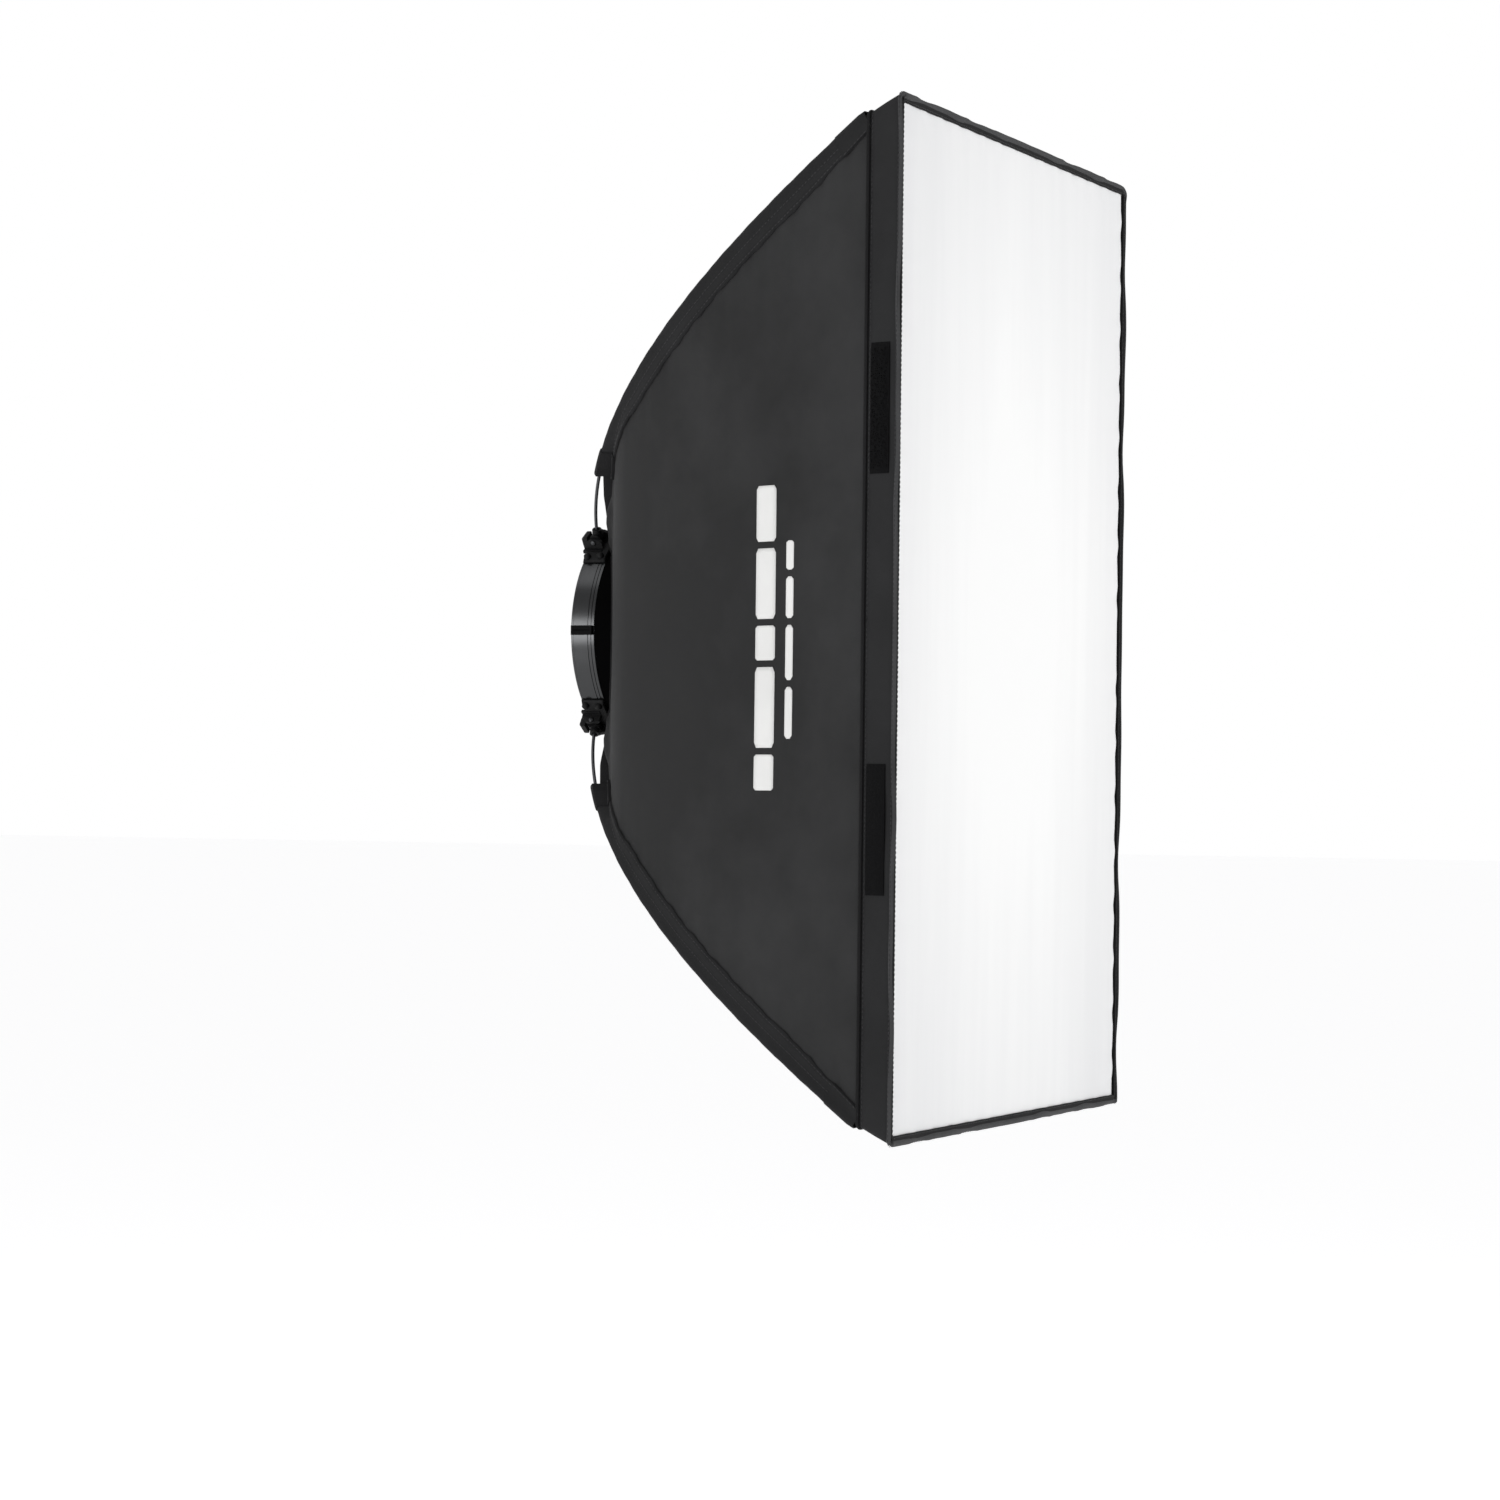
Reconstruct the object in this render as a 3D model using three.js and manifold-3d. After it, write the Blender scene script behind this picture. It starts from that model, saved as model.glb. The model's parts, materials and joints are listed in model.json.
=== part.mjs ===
// A two by three foot folding softbox on a rotating speed ring, in millimetres.
// +Z is up, the box faces -Y, and the origin is on the axis, at the ring's rear mounting plane.
// Every corner unit is built once in its own group: local X runs outward from the axis,
// local Y is the axis itself and local Z runs along the hinge pin. Every side unit (a panel
// with its lip, tape and edging) is built the same way, with local X pointing out of that side.

import * as THREE from "three";
import { mergeVertices } from "three/addons/utils/BufferGeometryUtils.js";
import Module from "manifold-3d";

const wasm = await Module();
wasm.setup();

// Driving dimensions
const FRONT_WIDTH = 610;
const FRONT_HEIGHT = 914;
const FRONT_Y = -413.5; // the front plane, counted from the mounting plane
const FRONT_R = Math.hypot(FRONT_WIDTH / 2, FRONT_HEIGHT / 2);
const WIDE_SHARE = FRONT_WIDTH / 2 / FRONT_R; // a corner direction's share along X
const TALL_SHARE = FRONT_HEIGHT / 2 / FRONT_R; // and along Z
const CLEARANCE = 0.3;

// Speed ring and the insert that turns in it
const RING_R = 99.2;
const RING_DEPTH = 25;
const RING_WALL = 3.7;
const WEB_THICKNESS = 6;
const WEB_BORE_R = 80;
const INSERT_BORE_R = 72;
const INSERT_FLANGE_R = 86;
const INSERT_FLANGE_THICKNESS = 3;
const LUG_TIP_R = 66;
const LUG_ANGLE = 0.52;
const RETAINER_FRONT_Y = -12;
const COLLAR_R = 98.6;
const COLLAR_FRONT_Y = -46;
const COLLAR_THICKNESS = 2;
const ROUND_STEPS = 56;

// Rod hinge units
const PIVOT_R = 109;
const PIVOT_Y = -8.5;
const PIN_R = 2;
const EAR_GAP = 13.6;
const EAR_THICKNESS = 4;
const EAR_R = 8.5;
const BRACKET_FOOT_R = 99.6;
const BRACKET_FOOT_THICKNESS = 3;
const BRACKET_FOOT_WIDTH = 30;
const BRACKET_REAR_Y = 2.5;
const BARREL_R = 5.5;
const SOCKET_R = 4.6;
const SOCKET_LENGTH = 14;
const SOCKET_BORE_START = 7; // from the hinge pin
const BUTTON_REAR_Y = 5.5;
const BUTTON_FRONT_Y = -0.6;
const BUTTON_HEIGHT = 9.4;

// The curve that all four rods and all four panel seams follow, as distance from the axis and Y
const SEAM_R = 530;
const SEAM_Y = -378.5;
const START_SLOPE = THREE.MathUtils.degToRad(6.8);
const END_SLOPE = THREE.MathUtils.degToRad(53.6);
const START_HANDLE = 161;
const END_HANDLE = 160;
const ROD_R = 2;
const ROD_START = 0.018; // shares of the seam curve
const ROD_END = 0.985;
const SLEEVE_START_R = 183;
const SLEEVE_END = 0.945;
const POCKET_END = 0.993;
const SLEEVE_R = 3.7;
const SLEEVE_BORE_R = 2.6;
const TUBE_ARC_STEPS = 4; // half of the sides of a tube

// Fabric
const PANEL_THICKNESS = 2;
const PANEL_STEPS = 22;
const SEAM_MARGIN = 4.2; // from the rod's centre line to the edge of a panel
const HEM_R = 101; // the panels' rear hems lie round the collar
const HEM_Y = -28;
const PANEL_JOIN_R = 230; // from the hem out to here the panels run straight, inside the rods' curve
const LIP_THICKNESS = 2.4;
const TAPE_LENGTH = 114;
const TAPE_WIDTH = 20;
const TAPE_THICKNESS = 1.2;
const TAPE_OFFSET = 183;
const TAPE_PLACE = 0.44; // share of the lip's depth from its rear edge to the middle of a tape
const EDGING_WIDTH = 6;
const DIFFUSER_Y = -411.5;
const DIFFUSER_THICKNESS = 2.5;
const DIFFUSER_INSET = 5; // from the outside of the lip to the outside of the diffuser's edging
const BAFFLE_Y = -200;
const BAFFLE_R = 330;
const BAFFLE_TAB_WIDTH = 18;
const BAFFLE_TAB_GAP = 17; // from the end of a tab to the rod's centre line

const CORNERS = [
  ["upper_left", -1, 1],
  ["upper_right", 1, 1],
  ["lower_left", -1, -1],
  ["lower_right", 1, -1],
];
const SIDES = [
  {
    name: "right",
    turn: 0,
    out: WIDE_SHARE,
    along: TALL_SHARE,
    tapes: { right_upper: TAPE_OFFSET, right_lower: -TAPE_OFFSET },
  },
  {
    name: "left",
    turn: Math.PI,
    out: WIDE_SHARE,
    along: TALL_SHARE,
    tapes: { left_upper: -TAPE_OFFSET, left_lower: TAPE_OFFSET },
  },
  { name: "top", turn: -Math.PI / 2, out: TALL_SHARE, along: WIDE_SHARE, tapes: { top: 0 } },
  { name: "bottom", turn: Math.PI / 2, out: TALL_SHARE, along: WIDE_SHARE, tapes: { bottom: 0 } },
];

const material = (color, roughness, metalness) =>
  new THREE.MeshStandardMaterial({ color, roughness, metalness });
const MATERIALS = {
  ringMetal: material(0x4c4d50, 0.38, 0.85),
  steel: material(0x9a9c9f, 0.3, 0.95),
  rod: material(0x232426, 0.35, 0.3),
  plastic: material(0x161617, 0.5, 0),
  shell: material(0x1d1d1f, 0.85, 0),
  sleeve: material(0x121213, 0.9, 0),
  tape: material(0x070708, 1, 0),
  diffuser: material(0xf4f4f2, 0.8, 0),
};

const root = new THREE.Group();

// Helpers

function addMesh(parent, name, geometry, look) {
  const mesh = new THREE.Mesh(geometry, look);
  mesh.name = name;
  parent.add(mesh);
  return mesh;
}

// A closed three.js geometry as a solid that can be joined and cut.
function solidOf(geometry) {
  const loose = geometry.index ? geometry.toNonIndexed() : geometry;
  const bare = new THREE.BufferGeometry();
  bare.setAttribute("position", loose.getAttribute("position"));
  const merged = mergeVertices(bare, 1e-4);
  return new wasm.Manifold(
    new wasm.Mesh({
      numProp: 3,
      vertProperties: merged.attributes.position.array,
      triVerts: new Uint32Array(merged.index.array),
    }),
  );
}

function geometryOf(solid) {
  const mesh = solid.getMesh();
  const geometry = new THREE.BufferGeometry();
  geometry.setAttribute("position", new THREE.BufferAttribute(mesh.vertProperties, 3));
  geometry.setIndex(new THREE.BufferAttribute(mesh.triVerts, 1));
  geometry.computeVertexNormals();
  return geometry;
}

function boxBetween(low, high) {
  const size = high.map((value, i) => value - low[i]);
  const middle = high.map((value, i) => (value + low[i]) / 2);
  return new THREE.BoxGeometry(...size).translate(...middle);
}

// A cylinder along local Z.
function roundAlongZ(radius, length, sides = 24) {
  return new THREE.CylinderGeometry(radius, radius, length, sides).rotateX(Math.PI / 2);
}

function extrudeCentred(shape, depth) {
  const options = { depth, bevelEnabled: false, curveSegments: 6 };
  return new THREE.ExtrudeGeometry(shape, options).translate(0, 0, -depth / 2);
}

// A shape drawn in X and Z, as a prism that runs through the whole depth of the box.
function planPrism(shape) {
  const reach = 40;
  const depth = reach - FRONT_Y + reach;
  return new THREE.ExtrudeGeometry(shape, { depth, bevelEnabled: false })
    .rotateX(Math.PI / 2)
    .translate(0, reach, 0);
}

function lathe(outline) {
  const points = outline.map(([radius, y]) => new THREE.Vector2(radius, y));
  points.push(points[0].clone());
  return new THREE.LatheGeometry(points, ROUND_STEPS);
}

// The seam curve and its parts

function makeSeamCurve() {
  const start = new THREE.Vector3(PIVOT_R, PIVOT_Y, 0);
  const end = new THREE.Vector3(SEAM_R, SEAM_Y, 0);
  const leaving = new THREE.Vector3(Math.cos(START_SLOPE), -Math.sin(START_SLOPE), 0);
  const arriving = new THREE.Vector3(Math.cos(END_SLOPE), -Math.sin(END_SLOPE), 0);
  return new THREE.CubicBezierCurve3(
    start,
    start.clone().addScaledVector(leaving, START_HANDLE),
    end.clone().addScaledVector(arriving, -END_HANDLE),
    end,
  );
}

const seam = makeSeamCurve();

class SeamPart extends THREE.Curve {
  constructor(from, to) {
    super();
    this.from = from;
    this.to = to;
  }
  getPoint(share, target = new THREE.Vector3()) {
    return target.copy(seam.getPoint(THREE.MathUtils.lerp(this.from, this.to, share)));
  }
}

// The share of the seam curve at which it is this far from the axis.
function shareAtRadius(radius) {
  let low = 0;
  let high = 1;
  for (let i = 0; i < 40; i++) {
    const middle = (low + high) / 2;
    if (seam.getPoint(middle).x < radius) low = middle;
    else high = middle;
  }
  return low;
}

const SLEEVE_START = shareAtRadius(SLEEVE_START_R);

function tubeAlongSeam(from, to, radius, boreRadius, steps) {
  const section = new THREE.Shape().absarc(0, 0, radius, 0, 2 * Math.PI);
  if (boreRadius > 0) {
    section.holes.push(new THREE.Path().absarc(0, 0, boreRadius, 0, 2 * Math.PI));
  }
  return new THREE.ExtrudeGeometry(section, {
    steps,
    curveSegments: TUBE_ARC_STEPS,
    extrudePath: new SeamPart(from, to),
  });
}

// Speed ring

function speedRingGeometry() {
  const innerWallR = RING_R - RING_WALL;
  const edge = 0.8;
  const body = solidOf(
    lathe([
      [WEB_BORE_R, 0],
      [WEB_BORE_R, -WEB_THICKNESS],
      [innerWallR, -WEB_THICKNESS],
      [innerWallR, -RING_DEPTH],
      [RING_R - edge, -RING_DEPTH],
      [RING_R, -RING_DEPTH + edge],
      [RING_R, -edge],
      [RING_R - edge, 0],
    ]),
  );
  const lockHole = solidOf(boxBetween([-RING_R - 5, -20.4, -3.4], [-innerWallR + 5, -13.6, 3.4]));
  return geometryOf(body.subtract(lockHole));
}

function mountInsertGeometry() {
  const flangeRearY = -WEB_THICKNESS - CLEARANCE;
  const flangeFrontY = flangeRearY - INSERT_FLANGE_THICKNESS;
  const neckR = WEB_BORE_R - 0.4;
  let body = solidOf(
    lathe([
      [INSERT_BORE_R, 0],
      [INSERT_BORE_R, flangeFrontY],
      [INSERT_FLANGE_R, flangeFrontY],
      [INSERT_FLANGE_R, flangeRearY],
      [neckR, flangeRearY],
      [neckR, 0],
    ]),
  );
  for (let i = 0; i < 3; i++) {
    const middle = (i * 2 * Math.PI) / 3;
    body = body.add(solidOf(bayonetLug(middle - LUG_ANGLE / 2, middle + LUG_ANGLE / 2)));
  }
  return geometryOf(body);
}

function bayonetLug(fromAngle, toAngle) {
  const thickness = 4;
  const rearY = -2;
  const shape = new THREE.Shape();
  shape.absarc(0, 0, LUG_TIP_R, fromAngle, toAngle, false);
  shape.absarc(0, 0, INSERT_BORE_R + 2, toAngle, fromAngle, true);
  return new THREE.ExtrudeGeometry(shape, { depth: thickness, bevelEnabled: false, curveSegments: 6 })
    .rotateX(Math.PI / 2)
    .translate(0, rearY, 0);
}

function retainerGeometry() {
  const outerR = RING_R - RING_WALL - CLEARANCE;
  const stepR = INSERT_FLANGE_R + 0.4;
  const stepY = -WEB_THICKNESS - INSERT_FLANGE_THICKNESS - 2 * CLEARANCE;
  return lathe([
    [WEB_BORE_R, stepY],
    [WEB_BORE_R, RETAINER_FRONT_Y],
    [outerR, RETAINER_FRONT_Y],
    [outerR, -WEB_THICKNESS - CLEARANCE],
    [stepR, -WEB_THICKNESS - CLEARANCE],
    [stepR, stepY],
  ]);
}

function collarGeometry() {
  return lathe([
    [COLLAR_R - COLLAR_THICKNESS, -RING_DEPTH - CLEARANCE],
    [COLLAR_R - COLLAR_THICKNESS, COLLAR_FRONT_Y],
    [COLLAR_R, COLLAR_FRONT_Y],
    [COLLAR_R, -RING_DEPTH - CLEARANCE],
  ]);
}

// A flat tab on the left of the ring, with a stem that reaches in through the ring's wall.
function rotationLockGeometry() {
  const cap = solidOf(boxBetween([-RING_R - 3.2, -23.4, -4.5], [-RING_R - 0.4, -1.6, 4.5]));
  const stem = solidOf(boxBetween([-RING_R - 2, -20, -3], [-91, -14, 3]));
  const groove = solidOf(boxBetween([-RING_R - 4, -21, -0.5], [-RING_R - 2.6, -4, 0.5]));
  return geometryOf(cap.add(stem).subtract(groove));
}

function addSpeedRing() {
  addMesh(root, "speed_ring", speedRingGeometry(), MATERIALS.ringMetal);
  addMesh(root, "mount_insert", mountInsertGeometry(), MATERIALS.ringMetal);
  addMesh(root, "insert_retainer", retainerGeometry(), MATERIALS.ringMetal);
  addMesh(root, "light_seal_collar", collarGeometry(), MATERIALS.sleeve);
  addMesh(root, "rotation_lock", rotationLockGeometry(), MATERIALS.plastic);
}

// Corner units: bracket, pin, release button, socket, rod, sleeve and tip pocket

function earShape() {
  const frontY = PIVOT_Y - EAR_R;
  const hornR = PIVOT_R - 3;
  const shape = new THREE.Shape();
  shape.moveTo(BRACKET_FOOT_R, frontY);
  shape.lineTo(PIVOT_R, frontY);
  shape.absarc(PIVOT_R, PIVOT_Y, EAR_R, -Math.PI / 2, Math.PI / 2, false);
  shape.lineTo(hornR, BRACKET_REAR_Y);
  shape.lineTo(BRACKET_FOOT_R, BRACKET_REAR_Y);
  shape.closePath();
  shape.holes.push(new THREE.Path().absarc(PIVOT_R, PIVOT_Y, PIN_R + CLEARANCE, 0, 2 * Math.PI));
  return shape;
}

function bracketGeometry() {
  const earMiddle = (EAR_GAP + EAR_THICKNESS) / 2;
  let body = solidOf(
    boxBetween(
      [BRACKET_FOOT_R, PIVOT_Y - EAR_R, -BRACKET_FOOT_WIDTH / 2],
      [BRACKET_FOOT_R + BRACKET_FOOT_THICKNESS, BRACKET_REAR_Y, BRACKET_FOOT_WIDTH / 2],
    ),
  );
  for (const side of [-1, 1]) {
    const ear = extrudeCentred(earShape(), EAR_THICKNESS).translate(0, 0, side * earMiddle);
    body = body.add(solidOf(ear));
  }
  return geometryOf(body);
}

function pinGeometry() {
  const headR = 3.4;
  const headThickness = 1.2;
  const headInside = EAR_GAP / 2 + EAR_THICKNESS + CLEARANCE;
  let body = solidOf(roundAlongZ(PIN_R, 2 * headInside + headThickness, 16));
  for (const side of [-1, 1]) {
    const head = roundAlongZ(headR, headThickness).translate(0, 0, side * (headInside + headThickness / 2));
    body = body.add(solidOf(head));
  }
  return geometryOf(body).translate(PIVOT_R, PIVOT_Y, 0);
}

// The socket points along the first stretch of the rod.
function socketGeometry() {
  const barrelLength = EAR_GAP - 2 * 0.4;
  const mouth = seam.getPoint(shareAtRadius(PIVOT_R + SOCKET_LENGTH));
  const slope = Math.atan2(mouth.y - PIVOT_Y, mouth.x - PIVOT_R);
  const tube = new THREE.CylinderGeometry(SOCKET_R, SOCKET_R, SOCKET_LENGTH, 16)
    .translate(0, SOCKET_LENGTH / 2, 0)
    .rotateZ(slope - Math.PI / 2);
  const bore = new THREE.CylinderGeometry(SLEEVE_BORE_R, SLEEVE_BORE_R, SOCKET_LENGTH, 16)
    .translate(0, SOCKET_LENGTH / 2 + SOCKET_BORE_START, 0)
    .rotateZ(slope - Math.PI / 2);
  const body = solidOf(roundAlongZ(BARREL_R, barrelLength))
    .add(solidOf(tube))
    .subtract(solidOf(bore))
    .subtract(solidOf(roundAlongZ(PIN_R + CLEARANCE, EAR_GAP, 16)));
  return geometryOf(body).translate(PIVOT_R, PIVOT_Y, 0);
}

function releaseGeometry() {
  const halfWidth = EAR_GAP / 2 - 0.5;
  const footR = BRACKET_FOOT_R + BRACKET_FOOT_THICKNESS + 0.4;
  const round = 2.5;
  const topR = footR + BUTTON_HEIGHT;
  const shape = new THREE.Shape();
  shape.moveTo(footR, BUTTON_FRONT_Y);
  shape.lineTo(topR, BUTTON_FRONT_Y);
  shape.lineTo(topR, BUTTON_REAR_Y - round);
  shape.absarc(topR - round, BUTTON_REAR_Y - round, round, 0, Math.PI / 2, false);
  shape.lineTo(footR, BUTTON_REAR_Y);
  shape.closePath();
  return extrudeCentred(shape, 2 * halfWidth);
}

function pocketGeometry() {
  const outside = solidOf(tubeAlongSeam(SLEEVE_END + 0.001, POCKET_END, SLEEVE_R, 0, 3));
  const inside = solidOf(tubeAlongSeam(SLEEVE_END - 0.02, ROD_END + 0.001, SLEEVE_BORE_R, 0, 4));
  return geometryOf(outside.subtract(inside));
}

function addCorner([corner, signX, signZ]) {
  const group = new THREE.Group();
  group.rotation.y = Math.atan2(-signZ * TALL_SHARE, signX * WIDE_SHARE);
  root.add(group);
  const rod = tubeAlongSeam(ROD_START, ROD_END, ROD_R, 0, 24);
  const sleeve = tubeAlongSeam(SLEEVE_START, SLEEVE_END, SLEEVE_R, SLEEVE_BORE_R, 18);
  addMesh(group, "rod_bracket_" + corner, bracketGeometry(), MATERIALS.plastic);
  addMesh(group, "rod_pin_" + corner, pinGeometry(), MATERIALS.steel);
  addMesh(group, "rod_release_" + corner, releaseGeometry(), MATERIALS.plastic);
  addMesh(group, "rod_socket_" + corner, socketGeometry(), MATERIALS.plastic);
  addMesh(group, "rod_" + corner, rod, MATERIALS.rod);
  addMesh(group, "rod_sleeve_" + corner, sleeve, MATERIALS.sleeve);
  addMesh(group, "rod_pocket_" + corner, pocketGeometry(), MATERIALS.sleeve);
}

// Side units: fabric panel, front lip, hook-and-loop tape and the diffuser's edging

// The profile that the panels follow: a straight stretch from the ring out to the seam curve,
// then that curve. Each entry is a distance from the axis, a Y and the slope there.
function panelProfile() {
  const joinShare = shareAtRadius(PANEL_JOIN_R);
  const join = seam.getPoint(joinShare);
  const rear = new THREE.Vector2(HEM_R, HEM_Y);
  const straight = new THREE.Vector2(join.x, join.y).sub(rear);
  const profile = [{ point: rear, slope: straight.clone().normalize() }];
  for (let i = 0; i <= PANEL_STEPS; i++) {
    const share = THREE.MathUtils.lerp(joinShare, 1, i / PANEL_STEPS);
    const point = seam.getPoint(share);
    const slope = seam.getTangent(share);
    profile.push({ point: new THREE.Vector2(point.x, point.y), slope });
  }
  return profile;
}

// The profile scaled to one side's distance from the axis, thickened both ways.
function panelSection(side) {
  const outer = [];
  const inner = [];
  for (const { point, slope } of panelProfile()) {
    const normal = new THREE.Vector2(-slope.y, slope.x * side.out).normalize();
    const middle = new THREE.Vector2(point.x * side.out, point.y);
    outer.push(middle.clone().addScaledVector(normal, PANEL_THICKNESS / 2));
    inner.push(middle.clone().addScaledVector(normal, -PANEL_THICKNESS / 2));
  }
  return new THREE.Shape([...inner, ...outer.reverse()]);
}

// Half the length of a side at a distance from the axis, less the margin beside the rod.
function halfAlong(side, radius, margin) {
  return side.along * radius - margin / side.out;
}

// The part of the plan between the two corner directions, from the ring out to the front seam.
function wedgePlan(side, fromR, toR, margin) {
  return new THREE.Shape([
    new THREE.Vector2(side.out * fromR, -halfAlong(side, fromR, margin)),
    new THREE.Vector2(side.out * toR, -halfAlong(side, toR, margin)),
    new THREE.Vector2(side.out * toR, halfAlong(side, toR, margin)),
    new THREE.Vector2(side.out * fromR, halfAlong(side, fromR, margin)),
  ]);
}

function panelGeometry(side) {
  const sheet = solidOf(extrudeCentred(panelSection(side), 2 * FRONT_HEIGHT));
  const plan = solidOf(planPrism(wedgePlan(side, HEM_R, SEAM_R, SEAM_MARGIN)));
  const hem = solidOf(new THREE.CylinderGeometry(HEM_R, HEM_R, 2 * RING_R, ROUND_STEPS));
  return geometryOf(sheet.intersect(plan).subtract(hem));
}

function lipSection(side) {
  const rearX = side.out * SEAM_R + PANEL_THICKNESS / 2;
  const frontX = side.out * FRONT_R;
  const rearY = SEAM_Y - 1;
  return new THREE.Shape([
    new THREE.Vector2(frontX, FRONT_Y),
    new THREE.Vector2(rearX, rearY),
    new THREE.Vector2(rearX - LIP_THICKNESS, rearY),
    new THREE.Vector2(frontX - LIP_THICKNESS, FRONT_Y),
  ]);
}

function lipGeometry(side) {
  const mitre = wedgePlan(side, SEAM_R / 2, 1.1 * FRONT_R, CLEARANCE);
  const strip = solidOf(extrudeCentred(lipSection(side), 2 * FRONT_HEIGHT));
  return geometryOf(strip.intersect(solidOf(planPrism(mitre))));
}

// A patch of tape lying on the outside of the lip.
function tapeGeometry(side, offset) {
  const rearX = side.out * SEAM_R + PANEL_THICKNESS / 2;
  const frontX = side.out * FRONT_R;
  const lean = Math.atan2(frontX - rearX, SEAM_Y - 1 - FRONT_Y);
  const lift = CLEARANCE + TAPE_THICKNESS / 2;
  return new THREE.BoxGeometry(TAPE_THICKNESS, TAPE_WIDTH, TAPE_LENGTH)
    .translate(lift, 0, 0)
    .rotateZ(lean)
    .translate(
      THREE.MathUtils.lerp(rearX, frontX, TAPE_PLACE),
      THREE.MathUtils.lerp(SEAM_Y - 1, FRONT_Y, TAPE_PLACE),
      offset,
    );
}

function diffuserHalf(share) {
  return share * FRONT_R - DIFFUSER_INSET;
}

// One black strip along a side of the diffuser, mitred to its neighbours.
function edgingGeometry(side) {
  const outX = diffuserHalf(side.out);
  const inX = outX - EDGING_WIDTH;
  const outHalf = diffuserHalf(side.along) - CLEARANCE;
  const shape = new THREE.Shape([
    new THREE.Vector2(inX, -(outHalf - EDGING_WIDTH)),
    new THREE.Vector2(outX, -outHalf),
    new THREE.Vector2(outX, outHalf),
    new THREE.Vector2(inX, outHalf - EDGING_WIDTH),
  ]);
  return new THREE.ExtrudeGeometry(shape, { depth: DIFFUSER_THICKNESS, bevelEnabled: false })
    .rotateX(Math.PI / 2)
    .translate(0, DIFFUSER_Y + DIFFUSER_THICKNESS, 0);
}

function addSide(side) {
  const group = new THREE.Group();
  group.rotation.y = side.turn;
  root.add(group);
  addMesh(group, "panel_" + side.name, panelGeometry(side), MATERIALS.shell);
  addMesh(group, "lip_" + side.name, lipGeometry(side), MATERIALS.shell);
  addMesh(group, "diffuser_edging_" + side.name, edgingGeometry(side), MATERIALS.sleeve);
  for (const [place, offset] of Object.entries(side.tapes)) {
    addMesh(group, "tape_" + place, tapeGeometry(side, offset), MATERIALS.tape);
  }
}

// Diffusion sheets

function addDiffuser() {
  const halfWidth = diffuserHalf(WIDE_SHARE) - EDGING_WIDTH - CLEARANCE;
  const halfHeight = diffuserHalf(TALL_SHARE) - EDGING_WIDTH - CLEARANCE;
  const sheet = boxBetween(
    [-halfWidth, DIFFUSER_Y, -halfHeight],
    [halfWidth, DIFFUSER_Y + DIFFUSER_THICKNESS, halfHeight],
  );
  addMesh(root, "front_diffuser", sheet, MATERIALS.diffuser);
}

function addBaffle() {
  const thickness = 2;
  const halfWidth = WIDE_SHARE * BAFFLE_R;
  const halfHeight = TALL_SHARE * BAFFLE_R;
  const sheet = boxBetween([-halfWidth, BAFFLE_Y, -halfHeight], [halfWidth, BAFFLE_Y + thickness, halfHeight]);
  addMesh(root, "inner_baffle", sheet, MATERIALS.diffuser);
  const rodR = radiusAtY(BAFFLE_Y);
  for (const [corner, signX, signZ] of CORNERS) {
    const tab = boxBetween(
      [BAFFLE_R + BAFFLE_TAB_WIDTH / 2, BAFFLE_Y, -BAFFLE_TAB_WIDTH / 2],
      [rodR - BAFFLE_TAB_GAP, BAFFLE_Y + thickness, BAFFLE_TAB_WIDTH / 2],
    );
    const mesh = addMesh(root, "baffle_tab_" + corner, tab, MATERIALS.sleeve);
    mesh.rotation.y = Math.atan2(-signZ * TALL_SHARE, signX * WIDE_SHARE);
  }
}

// The seam curve's distance from the axis at a given Y.
function radiusAtY(y) {
  let low = 0;
  let high = 1;
  for (let i = 0; i < 40; i++) {
    const middle = (low + high) / 2;
    if (seam.getPoint(middle).y > y) low = middle;
    else high = middle;
  }
  return seam.getPoint(low).x;
}

addSpeedRing();
CORNERS.forEach(addCorner);
SIDES.forEach(addSide);
addDiffuser();
addBaffle();

export default root;
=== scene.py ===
# %% [markdown]
# # A folding softbox
# A softbox turns a bare studio flash into a broad, soft window of light. Four sprung rods spread a
# black cloth shell from a metal ring at the back to a big rectangle at the front, where a white
# sheet diffuses the light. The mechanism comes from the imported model, and this lesson dresses it:
# cloth becomes curved sheets with seams and stitches, and metal and plastic get real finishes.

# %% Load the frame
import json
import math

import bmesh
import bpy
import numpy as np
from mathutils import Matrix, Vector

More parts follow.
